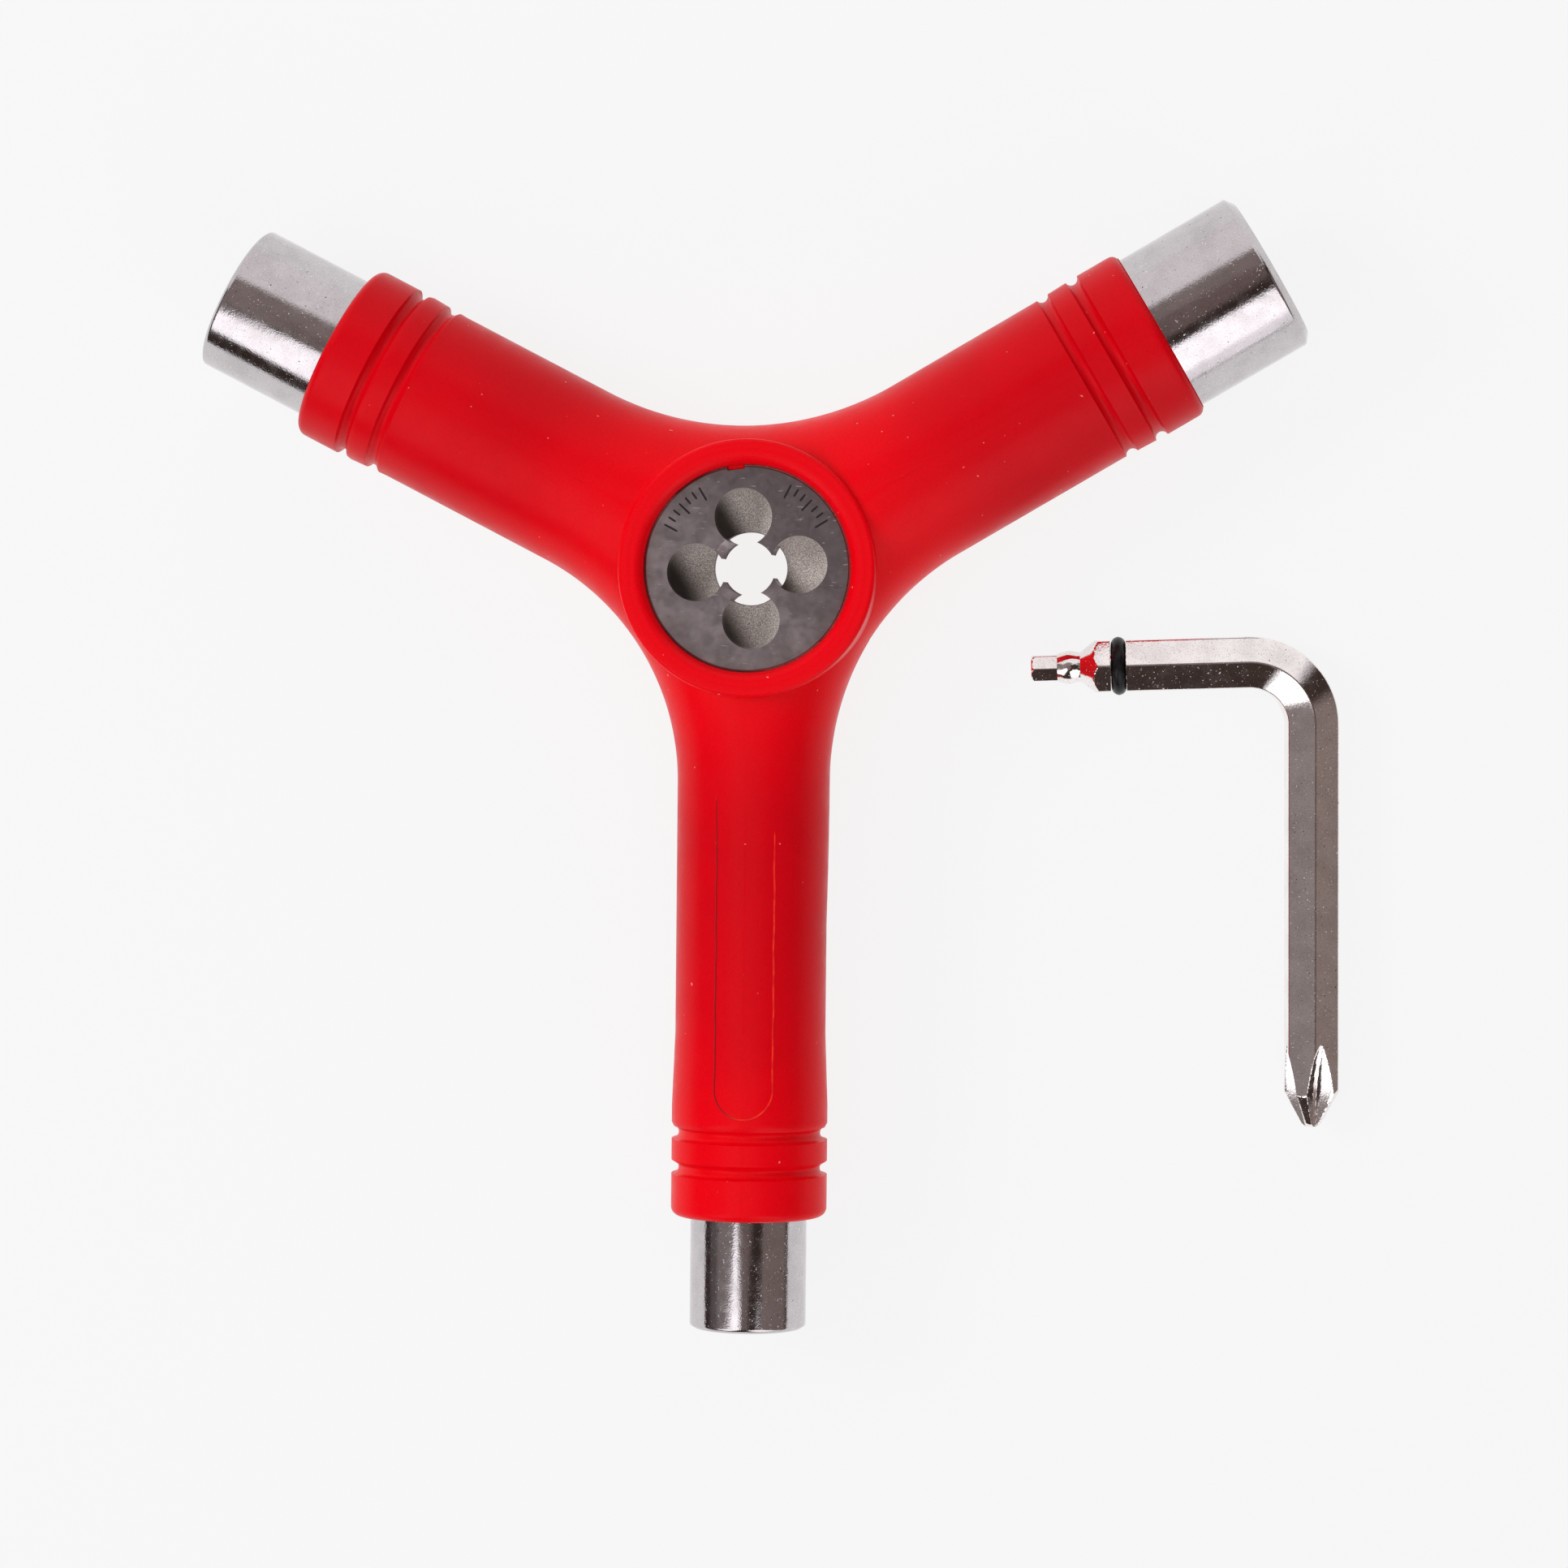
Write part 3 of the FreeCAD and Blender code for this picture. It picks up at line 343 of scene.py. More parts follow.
def die_steel():
    """Ground tool steel: a smudged, scratched grey-brown face that grows darker
    towards the upper right, and rough pockets below it with painted shade on one side."""
    material, tree, shader, place = new_material("die_steel")
    top = node_top("thread_die")
    x, y, z = split(tree, place)
    sunken = ramp(tree, z, (top - 0.06) * MM, (top - 0.35) * MM)
    outside_thread = ramp(tree, flat_length(tree, x, y), POCKET_FROM * MM, (POCKET_FROM + 0.1) * MM)
    sunken = math_node(tree, "MULTIPLY", sunken, outside_thread)
    smudge = noise(tree, place, 2.2, 4.0)
    colour = mix_colour(tree, ramp(tree, smudge, 0.35, 0.68),
                        (0.28, 0.245, 0.25, 1), (0.40, 0.355, 0.365, 1))
    # the face is made darker towards its upper right, by x + y
    far = math_node(tree, "ADD", x, y)
    upper_right_darkening = ramp(tree, far, -6 * MM, 12 * MM, 0.0, 0.75)
    colour = mix_colour(tree, upper_right_darkening, colour, (0.17, 0.145, 0.15, 1))
    scratch = noise(tree, place, 0.5, 2.0, stretch=(0.35, 1.6, 1))
    colour = mix_colour(tree, ramp(tree, scratch, 0.66, 0.74), colour, (0.50, 0.46, 0.47, 1))
    dust = ramp(tree, noise(tree, place, 0.28, 1.0), 0.80, 0.83)
    colour = mix_colour(tree, dust, colour, (0.85, 0.85, 0.85, 1))
    cast = noise(tree, place, 0.13, 4.0)
    sand = mix_colour(tree, ramp(tree, cast, 0.35, 0.70),
                      (0.34, 0.30, 0.27, 1), (0.96, 0.90, 0.87, 1))
    # painted shade: one side of each pocket is painted nearly black, standing in for its shadow
    pocket_lit_side = ramp(tree, pocket_lean(tree, x, y), -3.2 * MM, -0.2 * MM)
    sand = mix_colour(tree, pocket_lit_side, (0.035, 0.028, 0.022, 1), sand)
    tree.links.new(mix_colour(tree, sunken, colour, sand), shader.inputs["Base Color"])
    tree.links.new(ramp(tree, sunken, 0.0, 1.0, 0.85, 0.0), shader.inputs["Metallic"])
    rough = ramp(tree, noise(tree, place, 0.8, 3.0), 0.3, 0.7, 0.36, 0.56)
    rough = math_node(tree, "MAXIMUM", rough, ramp(tree, sunken, 0.0, 1.0, 0.0, 0.62))
    tree.links.new(rough, shader.inputs["Roughness"])
    coarse = math_node(tree, "MULTIPLY", cast, ramp(tree, sunken, 0.0, 1.0, 0.25, 1.0))
    tree.links.new(bump(tree, scratch, 0.006, bump(tree, coarse, 0.03)), shader.inputs["Normal"])
    return material


def black_rubber():
    """Nitrile rubber with a faint bloom."""
    material, tree, shader, place = new_material("black_rubber", Specular_IOR_Level=0.22)
    bloom = noise(tree, place, 0.6, 3.0)
    colour = mix_colour(tree, ramp(tree, bloom, 0.4, 0.75),
                        (0.005, 0.005, 0.006, 1), (0.014, 0.013, 0.014, 1))
    tree.links.new(colour, shader.inputs["Base Color"])
    tree.links.new(ramp(tree, bloom, 0.3, 0.7, 0.24, 0.38), shader.inputs["Roughness"])
    tree.links.new(bump(tree, noise(tree, place, 0.15, 2.0), 0.008), shader.inputs["Normal"])
    return material


def mark_ink():
    """Burnt bottom of a stamped mark."""
    material, tree, shader, place = new_material("stamped_mark", Metallic=0.6)
    burnt = noise(tree, place, 0.3, 2.0)
    colour = mix_colour(tree, burnt, (0.015, 0.012, 0.012, 1), (0.05, 0.042, 0.042, 1))
    tree.links.new(colour, shader.inputs["Base Color"])
    tree.links.new(ramp(tree, burnt, 0.3, 0.7, 0.5, 0.7), shader.inputs["Roughness"])
    return material


RED = red_plastic()
FLASH = thin_flash()
SOCKET = plated_steel("socket_plating", (0.61, 0.575, 0.59, 1), (0.54, 0.51, 0.52, 1),
                      rough_low=0.09, rough_high=0.18, pit_depth=0.006)
KEY = plated_steel("key_plating", (0.97, 0.93, 0.92, 1), (0.84, 0.80, 0.79, 1),
                   rough_low=0.06, rough_high=0.13, pit_depth=0.0042)
DIE = die_steel()
RUBBER = black_rubber()
MARK = mark_ink()


# ----------------------------------------------------------------- sockets

SOCKET_SEGMENTS = 192
SHOULDER = 2.6          # length of full radius inside the collar
SHANK_STEP = 1.0        # how much thinner the shank inside the handle is
SHANK_BEVEL = 0.6
EDGE = 0.22             # rounding of the turned edges
CHAMFER_SHARE = 0.75    # length of a turned edge, by its depth
SOCKET_CORNER = 0.25    # rounding of the hexagons' corners
MOUTH_STEPS = 10        # rings in the lead-in bevel
MOUTH_OVER = 0.14       # how far the bevel starts outside the corners
MOUTH_SLOPE = 0.9       # depth of the bevel, by how much it narrows
MOUTH_UNDER = 0.05      # how far it runs in below the flats
DRILL_FLAT = 0.4        # flat of a relief's floor, by its radius
DRILL_DEPTH = 1.0       # of the cone round that flat
STORE_FLATS = 6.5       # hexagon behind the small socket, where the key is kept
STORE_END = 46.0
# ends of the handle's collars, from the hub's axis
COLLAR_ENDS = {"right": 58.3, "left": 59.1, "long": 80.85}
SOCKETS = {
    "socket_nine_sixteenths": dict(
        mount="hexagon_nine_sixteenths", relief="bolt_relief_large",
        flats=14.4, chamfer=1.2, collar=COLLAR_ENDS["right"]),
    "socket_half_inch": dict(
        mount="hexagon_half_inch", relief="bolt_relief_medium",
        flats=12.8, chamfer=0.5, collar=COLLAR_ENDS["left"]),
    "socket_three_eighths": dict(
        mount="hexagon_three_eighths", relief=None,
        flats=9.63, chamfer=0.5, collar=COLLAR_ENDS["long"]),
}


def inner_end(node, direction):
    """Distance of a node's inner end from the hub's axis, along its arm."""
    return min(vertex.co.dot(direction) for vertex in frame["nodes"][node].data.vertices) / MM


def outward_frame(direction):
    """Matrix whose local Z runs out along an arm and whose local Y points up."""
    across = direction.cross(Vector((0, 0, -1)))
    return Matrix((across, Vector((0, 0, 1)), direction)).transposed().to_4x4()


def hexagon_shape(flats, angle):
    """Distance from a socket's axis to a hexagon of its inside."""
    return hexagon_radius(flats, angle, SOCKET_CORNER)


def outside_profile(node, start, end):
    """Turned outside of a socket: thin shank, shoulder and chamfered rim."""
    radius = node_top(node)
    chamfer = SOCKETS[node]["chamfer"]
    shoulder = SOCKETS[node]["collar"] - SHOULDER
    lip = radius - chamfer
    rim = end - chamfer * CHAMFER_SHARE
    return [
        (radius - SHANK_STEP - SHANK_BEVEL, start),
        (radius - SHANK_STEP, start + SHANK_BEVEL),
        (radius - SHANK_STEP, shoulder),
        (radius, shoulder + STEP_WALL),
        (radius, rim - EDGE),
        (radius - EDGE * 0.12, rim - EDGE * 0.2),
        (radius - EDGE * 0.5, rim + EDGE * 0.4),
        (lip + EDGE * 0.5, end - EDGE * 0.4),
        (lip, end - EDGE * 0.1),
        (lip - EDGE, end),
    ]


def mouth_rings(flats, end):
    """Lead-in bevel: a cone that runs out into the hexagon's flats."""
    widest = corner_radius(flats) + MOUTH_OVER
    deepest = flats / 2 - MOUTH_UNDER
    rings = []
    for step in range(MOUTH_STEPS + 1):
        cone = widest + (deepest - widest) * step / MOUTH_STEPS
        rings += turned([(cone, end - (widest - cone) * MOUTH_SLOPE)], SOCKET_SEGMENTS,
                        lambda reach, angle: max(reach, hexagon_shape(flats, angle)))
    return rings


def make_socket(node):
    """Plated socket: turned outside, hexagon with a bevelled mouth inside."""
    mount_name, relief_name = SOCKETS[node]["mount"], SOCKETS[node]["relief"]
    flats = SOCKETS[node]["flats"]
    mouth, direction = mount_place(mount_name)
    end = mouth.length
    bottom = end - mounts[mount_name]["dims"]["length_mm"]
    rings = turned(outside_profile(node, inner_end(node, direction), end), SOCKET_SEGMENTS)
    rings += mouth_rings(flats, end)
    hexes = [(flats, bottom)]
    if relief_name is None:
        hexes += [(STORE_FLATS, bottom - STEP_WALL), (STORE_FLATS, STORE_END)]
    rings += turned(hexes, SOCKET_SEGMENTS, hexagon_shape)
    if relief_name is not None:
        relief = mounts[relief_name]["dims"]["r_mm"]
        floor = bottom - mounts[relief_name]["dims"]["length_mm"]
        rings += turned([(relief, bottom - STEP_WALL), (relief, floor),
                         (relief * DRILL_FLAT, floor - DRILL_DEPTH)], SOCKET_SEGMENTS)
    bm = bmesh.new()
    add_rings(bm, rings)
    piece = finish_mesh(bm, node + "_shell", SOCKET, "tool", sharp_angle=25,
                        matrix=outward_frame(direction))
    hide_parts(node)


# ------------------------------------------------------------------ handle

QUARTER = 22            # points in a quarter of an arm's section
HUB_SEGMENTS = 256
HUB_RADIUS = 15.9
HUB_HALF = 12.0
HUB_EDGE = 0.6
RIM_WIDTH = 1.75        # from the hub's outside to where its top turns down
BORE_ROUND = 0.4        # rounding of the back bore's edge
DIE_GAP = 0.02          # below the die
TRIM_RADIUS = 14.4      # where the arms end, inside the hub's wall
TRIM_SLACK = 0.01       # a point this near to that radius was trimmed
FIT = 0.05              # gap round a socket or the die, in its seat
SEAT_BEVEL = 0.3        # at the mouth of a socket's seat
COLLAR_ROUND = 1.1
GROOVE_SECTION = 0.8    # radius of a ring groove's section
GROOVE_RISE = 0.25      # how far that circle's middle is above the arm
NOTCH_ANGLE = 97.0      # the die's notch and the tab in it
NOTCH_WIDTH = 2.2
NOTCH_DEPTH = 0.5
NOTCH_FLOOR = 2.0       # heights between which the tab lies
NOTCH_TOP = 10.2
TAB_FIT = 0.04          # gap between the tab and the notch
TAB_ROOT = 0.6          # how far the tab goes into the hub's wall
TAB_BEVEL = 0.1
WELD = 0.0005           # points nearer than this are one point
BLEND_STEPS = 36        # rings in a blend
BLEND_LEAD = 1.0        # how far outside the blends the round part stops
COARSE_STEP = 0.5       # between the rings of a round part
FINE_STEP = 0.06        # the same, in its grooves and at its end
GROOVE_MARGIN = 0.1     # the fine rings start this far beside a groove
ROUND_MARGIN = 0.05     # and this far before the collar's rounding
ARM_RADIUS = 11.1
LONG_RADIUS = 9.4
LONG_ROUND_FROM = 44.0  # the long arm is round from here out
ROOT_STATION = 7.5      # and as high as the other arms here
LONG_DRAFT = 0.45       # extra width of its left side, near the hub
# an arm's radius grows to its collar's along the flare; the ring grooves and
# the flare are given by their stations, measured out from the hub's axis
ARMS = {
    "right": dict(socket="socket_nine_sixteenths", radius=ARM_RADIUS, collar=11.3,
                  grooves=(47.8, 52.0), flare=(46.6, 52.6)),
    "left": dict(socket="socket_half_inch", radius=ARM_RADIUS, collar=11.42,
                 grooves=(48.5, 52.7), flare=(46.6, 52.6)),
    "long": dict(socket="socket_three_eighths", radius=LONG_RADIUS, collar=9.75,
                 grooves=(70.4, 74.8), flare=(58.0, 67.0)),
}
# plan radius of the blend between two arms; a pair goes counter-clockwise
BLENDS = {("right", "left"): 37.0, ("left", "long"): 31.0, ("long", "right"): 33.0}


def arm_angle(name):
    """Direction of an arm in plan, which is that of its socket."""
    _, direction = mount_place(SOCKETS[ARMS[name]["socket"]]["mount"])
    return math.atan2(direction.y, direction.x)


def blend_side(own, other, blend):
    """Tangent station, turn to the valley, width at the valley and radius of a
    blend, seen from one of the two arms that it joins."""
    between = abs((arm_angle(other) - arm_angle(own) + math.pi) % (2 * math.pi) - math.pi)
    own_radius, other_radius = ARMS[own]["radius"], ARMS[other]["radius"]
    own_away = own_radius + blend
    other_away = other_radius + blend
    squares = own_away ** 2 + other_away ** 2 + 2 * own_away * other_away * math.cos(between)
    reach = math.sqrt(squares) / math.sin(between)
    tangent = math.sqrt(reach ** 2 - own_away ** 2)
    return tangent, math.atan2(tangent, own_away), (own_radius + other_radius) / 2, blend


def arm_sides(name):
    """The blends on an arm's left and right, looking out along it."""
    for (first, second), blend in BLENDS.items():
        if first == name:
            left = blend_side(name, second, blend)
        if second == name:
            right = blend_side(name, first, blend)
    return left, right


def rooted(station):
    """How near to its root an arm is at a station: 1 there, 0 where it is round."""
    return share_of(LONG_ROUND_FROM, ROOT_STATION, station)


def arm_height(name, station):
    """Half-height of an arm; the long arm rises to the others near the hub."""
    radius = ARMS[name]["radius"]
    return radius + (ARM_RADIUS - radius) * rooted(station) ** 4


def arm_draft(name, station):
    """Extra width of an arm's left side, looking out along it."""
    if name != "long":
        return 0.0
    share = rooted(station)
    return LONG_DRAFT * 2 * share * (1 - share)


def side_point(name, side, turn_share, quarter_share):
    """Point of a blend: turn_share runs from its tangent point to the valley,
    quarter_share from the outline up to the top line."""
    tangent, turn_end, valley_width, blend = side
    radius = ARMS[name]["radius"]
    turn = turn_end * turn_share
    width = radius + (valley_width - radius) * smoothstep(0, 1, turn_share)
    lift = math.radians(90 * quarter_share)
    away = blend + width * (1 - math.cos(lift))
    station = tangent - (blend + width) * math.sin(turn)
    return Vector((tangent - away * math.sin(turn),
                   radius + blend - away * math.cos(turn),
                   arm_height(name, station) * math.sin(lift)))


def drafted(name, point, quarter_share):
    """Move a point of an arm's left side out by the arm's extra width there."""
    aside = arm_draft(name, point.x) * math.cos(math.radians(90 * quarter_share))
    return point + Vector((0, aside, 0))


def shaft_radius(name, station):
    """Radius of an arm's round part, with its flare and its two ring grooves."""
    arm = ARMS[name]
    radius = arm["radius"]
    reach = radius + (arm["collar"] - radius) * share_of(*arm["flare"], station)
    into_round = station - (COLLAR_ENDS[name] - COLLAR_ROUND)
    if into_round > 0:
        reach -= COLLAR_ROUND - math.sqrt(max(0.0, COLLAR_ROUND ** 2 - into_round ** 2))
    for groove in arm["grooves"]:
        aside = abs(station - groove)
        if aside < GROOVE_SECTION:
            floor = radius + GROOVE_RISE - math.sqrt(GROOVE_SECTION ** 2 - aside ** 2)
            reach = min(reach, floor)
    return reach


def shaft_stations(name, start):
    """Stations along a round part, close together where its radius changes fast."""
    end = COLLAR_ENDS[name]
    stations = {end}
    station = start
    while station < end:
        from_groove = min(abs(station - groove) for groove in ARMS[name]["grooves"])
        in_groove = from_groove < GROOVE_SECTION + GROOVE_MARGIN
        at_end = end - station < COLLAR_ROUND + ROUND_MARGIN
        stations.add(round(station, 3))
        station += FINE_STEP if in_groove or at_end else COARSE_STEP
    return sorted(stations)


def arm_section(left_point, right_point):
    """Closed ring of a section; the two functions give the points of each side."""
    ring = []
    for step in range(QUARTER + 1):
        ring.append(left_point(step / QUARTER))
    for step in range(QUARTER, -1, -1):
        point = right_point(step / QUARTER)
        ring.append(Vector((point.x, -point.y, point.z)))
    for step in range(1, QUARTER + 1):
        point = right_point(step / QUARTER)
        ring.append(Vector((point.x, -point.y, -point.z)))
    for step in range(QUARTER, 0, -1):
        point = left_point(step / QUARTER)
        ring.append(Vector((point.x, point.y, -point.z)))
    return ring


def round_section(station, left_width, right_width, height):
    """Section of an arm's round part."""
    def side(width):
        """Function that gives the points of one side."""
        def point(share):
            lift = math.radians(90 * share)
            return Vector((station, width * math.cos(lift), height * math.sin(lift)))
        return point
    return arm_section(side(left_width), side(right_width))


def trimmed(column):
    """Stop a column of points where it enters the hub's wall."""
    result = []
    for index, point in enumerate(column):
        if math.hypot(point.x, point.y) >= TRIM_RADIUS:
            result.append(point)
            continue
        before = result[-1]
        outer = math.hypot(before.x, before.y)
        inner = math.hypot(point.x, point.y)
        share = (outer - TRIM_RADIUS) / (outer - inner)
        result += [before.lerp(point, share)] * (len(column) - index)
        break
    return result


def arm_rings(name):
    """Rings of one arm from its socket seat to the valleys at the hub."""
    end = COLLAR_ENDS[name]
    seat = node_top(ARMS[name]["socket"]) + FIT
    rings = []
    for station, reach in ((end - SHOULDER, seat), (end - SEAT_BEVEL, seat), (end, seat + SEAT_BEVEL)):
        rings.append(round_section(station, reach, reach, reach))
    left, right = arm_sides(name)
    first = max(left[0], right[0]) + BLEND_LEAD
    for station in reversed(shaft_stations(name, first)):
        reach = shaft_radius(name, station)
        rise = arm_height(name, station) - ARMS[name]["radius"]
        rings.append(round_section(station, reach + arm_draft(name, station), reach, reach + rise))
    for step in range(BLEND_STEPS + 1):
        share = step / BLEND_STEPS
        rings.append(arm_section(
            lambda quarter: drafted(name, side_point(name, left, share, quarter), quarter),
            lambda quarter: side_point(name, right, share, quarter)))
    columns = [trimmed(list(column)) for column in zip(*rings)]
    turn = Matrix.Rotation(arm_angle(name), 3, "Z")
    return [[turn @ point for point in ring] for ring in zip(*columns)]


def hub_profile():
    """Closed profile of the hub: ring wall, rounded rim, die seat and bore."""
    bore = mounts["back_bore"]["dims"]["r_mm"]
    seat = node_top("thread_die")
    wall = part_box("thread_die")[1].x / MM + FIT
    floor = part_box("thread_die")[0].z / MM - DIE_GAP
    inside = HUB_RADIUS - RIM_WIDTH
    profile = arc_points((HUB_RADIUS - HUB_EDGE, -HUB_HALF + HUB_EDGE), HUB_EDGE, -90, 0, 8)
    profile += arc_points((HUB_RADIUS - HUB_EDGE, HUB_HALF - HUB_EDGE), HUB_EDGE, 0, 90, 8)
    profile += arc_points((inside, seat), HUB_HALF - seat, 90, 180, 14)
    profile += [(wall, floor), (bore, floor)]
    profile += arc_points((bore + BORE_ROUND, -HUB_HALF + BORE_ROUND), BORE_ROUND, 180, 270, 5)
    return profile


def add_inner_wall(bm, ring):
    """Close the end of an arm inside the hub's wall: the last ring's upper half
    is joined to its lower half wherever it was trimmed."""
    count = len(ring)
    verts = [bm.verts.new(point) for point in ring]
    at_trim = [math.hypot(point.x, point.y) < TRIM_RADIUS + TRIM_SLACK for point in ring]
    for index in range(count // 2):
        corners = [index, index + 1, count - index - 1, (count - index) % count]
        if all(at_trim[corner] for corner in corners):
            distinct = list(dict.fromkeys(corners))
            bm.faces.new([verts[corner] for corner in distinct])


def tab_rings():
    """Block of the moulding that fills the die's notch and stops it turning."""
    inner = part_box("thread_die")[1].x / MM - NOTCH_DEPTH + TAB_FIT
    outer = inner + NOTCH_DEPTH + TAB_ROOT
    half = NOTCH_WIDTH / 2 - TAB_FIT
    turn = Matrix.Rotation(math.radians(NOTCH_ANGLE), 3, "Z")
    rings = []
    for height, back in ((NOTCH_FLOOR, 0.0), (NOTCH_TOP - TAB_BEVEL, 0.0), (NOTCH_TOP, TAB_BEVEL)):
        corners = [(inner + back, -half + back), (outer, -half + back),
                   (outer, half - back), (inner + back, half - back)]
        rings.append([turn @ Vector((x, y, height)) for x, y in corners])
    return rings


def make_handle():
    """Moulded handle: three blended arms, the hub and the tab for the die."""
    bm = bmesh.new()
    for name in ARMS:
        rings = arm_rings(name)
        add_rings(bm, rings, cap_last=False)
        add_inner_wall(bm, rings[-1])
    bmesh.ops.remove_doubles(bm, verts=bm.verts, dist=WELD)
    add_rings(bm, turned(hub_profile(), HUB_SEGMENTS), closed=True)
    add_rings(bm, tab_rings())
    piece = finish_mesh(bm, "moulded_handle", RED, "tool", sharp_angle=32)
    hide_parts("y_handle")


# --------------------------------------------------------------------- key

KEY_FLATS = 6.45        # quarter-inch bar, drawn a tenth wider than its 6.35
KEY_CORNER = 0.42       # rounding of the bar's corners
KEY_BEND = 7.8
KEY_POINTS = 288        # points in a ring of the key
KEY_STEP = 0.15         # between its rings, at both ends
KEY_EDGE = 0.01         # from a sudden change of radius to the rings beside it
KEY_ROLL = 7.0          # the bend leaves the long leg rolled by this much
TIP_FLATS = 3.175       # small hexagon of the short leg
TIP_LENGTH = 3.25
TIP_CORNER = 0.2        # rounding of its corners
TIP_BEVEL = 0.05
TIP_ROLL = -4.5         # how far the small hexagon is turned on its axis
NECK_START = 1.73       # radius of the turned neck behind the small hexagon
BELLY_RADIUS = 2.08     # the neck's thick place, and its distance from the tip
BELLY_STATION = 4.8
WAIST_RADIUS = 1.85     # its thin place
WAIST_STATION = 6.15
NECK_END = 8.5          # from here on the bar has its full width
SHORT_END = 12.6        # the neck and the ring's groove lie within this
CROSS_CONE = 4.8        # length of the cone at the cross point
CROSS_BLUNT = 1.0       # radius of that cone at the very end
CROSS_FACE = 0.8        # radius of the flat end
CROSS_ROUND = 1.2       # how fast the end widens from the flat to the cone
CROSS_LENGTH = 12.0     # how far the flutes reach
FLUTE_ROOT = 0.8        # from the axis to a flute's bottom, at the end
FLUTE_WHEEL = 22.5      # radius of the wheel that ground them
FLUTE_FLAT = 0.15       # half-width of a flute's flat bottom
FLUTE_ANGLE = 22.0
RING_STATION = 10.95
RING_CENTRE = 2.72
RING_SECTION = 0.93
RING_GAP = 0.02         # between the ring and the bottom of its groove
RING_SEAT = 1.0         # half-width of that groove
RING_STEPS = 40         # points in the ring's section
RING_SEGMENTS = 128
MOULD_LINE = 0.035      # height of the ring's mould line
MOULD_SPREAD = 0.06     # and its half-width, by the section's diameter


def key_spine():
    """Short tip, crossing of the legs and long tip, from the record's mounts."""
    long_tip, down = mount_place("cross_point")
    short_tip, out = mount_place("hexagon_tip")
    gap = short_tip - long_tip
    length = gap.cross(out).z / down.cross(out).z
    return short_tip, long_tip + down * length, long_tip


def neck_radius(station):
    """Turned outline of the short leg, by distance from its tip."""
    corner = corner_radius(KEY_FLATS)
    if station < BELLY_STATION:
        swell = math.sin(math.pi / 2 * share_of(TIP_LENGTH, BELLY_STATION, station))
        return NECK_START + (BELLY_RADIUS - NECK_START) * swell
    if station < WAIST_STATION:
        narrowing = smoothstep(BELLY_STATION, WAIST_STATION, station)
        return BELLY_RADIUS - (BELLY_RADIUS - WAIST_RADIUS) * narrowing
    if station < NECK_END:
        return WAIST_RADIUS + (corner - WAIST_RADIUS) * share_of(WAIST_STATION, NECK_END, station)
    if abs(station - RING_STATION) < RING_SEAT:
        return RING_CENTRE - RING_SECTION - RING_GAP
    return corner


def flute_limit(angle, from_tip):
    """Distance from the axis at which a ray meets the nearest ground flute."""
    depth = FLUTE_ROOT + FLUTE_WHEEL - math.sqrt(FLUTE_WHEEL ** 2 - from_tip ** 2)
    aside = (angle - math.radians(FLUTE_ANGLE) + math.pi / 4) % (math.pi / 2) - math.pi / 4
    slope = math.cos(aside) - abs(math.sin(aside))
    if slope < 0.02:
        return math.inf
    return max(depth / math.cos(aside), (depth - FLUTE_FLAT) / slope)


def key_reach(angle, from_short, from_long, roll):
    """Distance from the bar's axis to its surface; angle is measured from up."""
    if from_short < TIP_LENGTH:
        reach = hexagon_radius(TIP_FLATS, angle - math.radians(TIP_ROLL), TIP_CORNER)
        return min(reach, TIP_FLATS / 2 - TIP_BEVEL + from_short)
    reach = hexagon_radius(KEY_FLATS, angle - roll, KEY_CORNER)
    reach = min(reach, neck_radius(from_short))
    if from_long < CROSS_LENGTH:
        cone = CROSS_BLUNT + (corner_radius(KEY_FLATS) - CROSS_BLUNT) * from_long / CROSS_CONE
        rounding = CROSS_FACE + CROSS_ROUND * from_long
        reach = min(reach, cone, rounding, flute_limit(angle, from_long))
    return reach


def key_stations(total, bend_start, bend_end):
    """Distances along the bar at which it gets a ring."""
    stations = [KEY_STEP * step for step in range(int(SHORT_END / KEY_STEP))]
    for edge in (TIP_LENGTH, RING_STATION - RING_SEAT, RING_STATION + RING_SEAT):
        stations += [edge - KEY_EDGE, edge + KEY_EDGE]
    ground = total - CROSS_LENGTH
    for start, stop, steps in ((SHORT_END, bend_start, 6), (bend_start, bend_end, 40),
                               (bend_end, ground, 12)):
        stations += [start + (stop - start) * step / steps for step in range(steps)]
    stations += [ground + KEY_STEP * step for step in range(int(CROSS_LENGTH / KEY_STEP) + 1)]
    return sorted(set(round(min(station, total), 4) for station in stations))


def make_key():
    """Bent hexagon bar with its turned neck and its ground cross point."""
    short_tip, corner, long_tip = key_spine()
    into = (corner - short_tip).normalized()
    down = (long_tip - corner).normalized()
    turn = into.angle(down)
    trim = KEY_BEND * math.tan(turn / 2)
    bend_start = (corner - short_tip).length - trim
    bend_end = bend_start + KEY_BEND * turn
    total = bend_end + (long_tip - corner).length - trim
    up = Vector((0, 0, 1))
    inward = -up.cross(into)
    centre = short_tip + into * bend_start + inward * KEY_BEND
    rings = []
    for station in key_stations(total, bend_start, bend_end):
        if station < bend_start:
            place, heading = short_tip + into * station, into
        elif station < bend_end:
            rotation = Matrix.Rotation(-(station - bend_start) / KEY_BEND, 3, "Z")
            place, heading = centre - rotation @ inward * KEY_BEND, rotation @ into
        else:
            place, heading = corner + down * (trim + station - bend_end), down
        side = up.cross(heading)
        roll = math.radians(KEY_ROLL) * smoothstep(bend_start, bend_end, station)
        ring = []
        for step in range(KEY_POINTS):
            angle = 2 * math.pi * step / KEY_POINTS
            reach = key_reach(angle, station, total - station, roll)
            ring.append(place + (up * math.cos(angle) + side * math.sin(angle)) * reach)
        rings.append(ring)
    bm = bmesh.new()
    add_rings(bm, rings)
    piece = finish_mesh(bm, "bent_key", KEY, "key", sharp_angle=24)
    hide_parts("l_key")


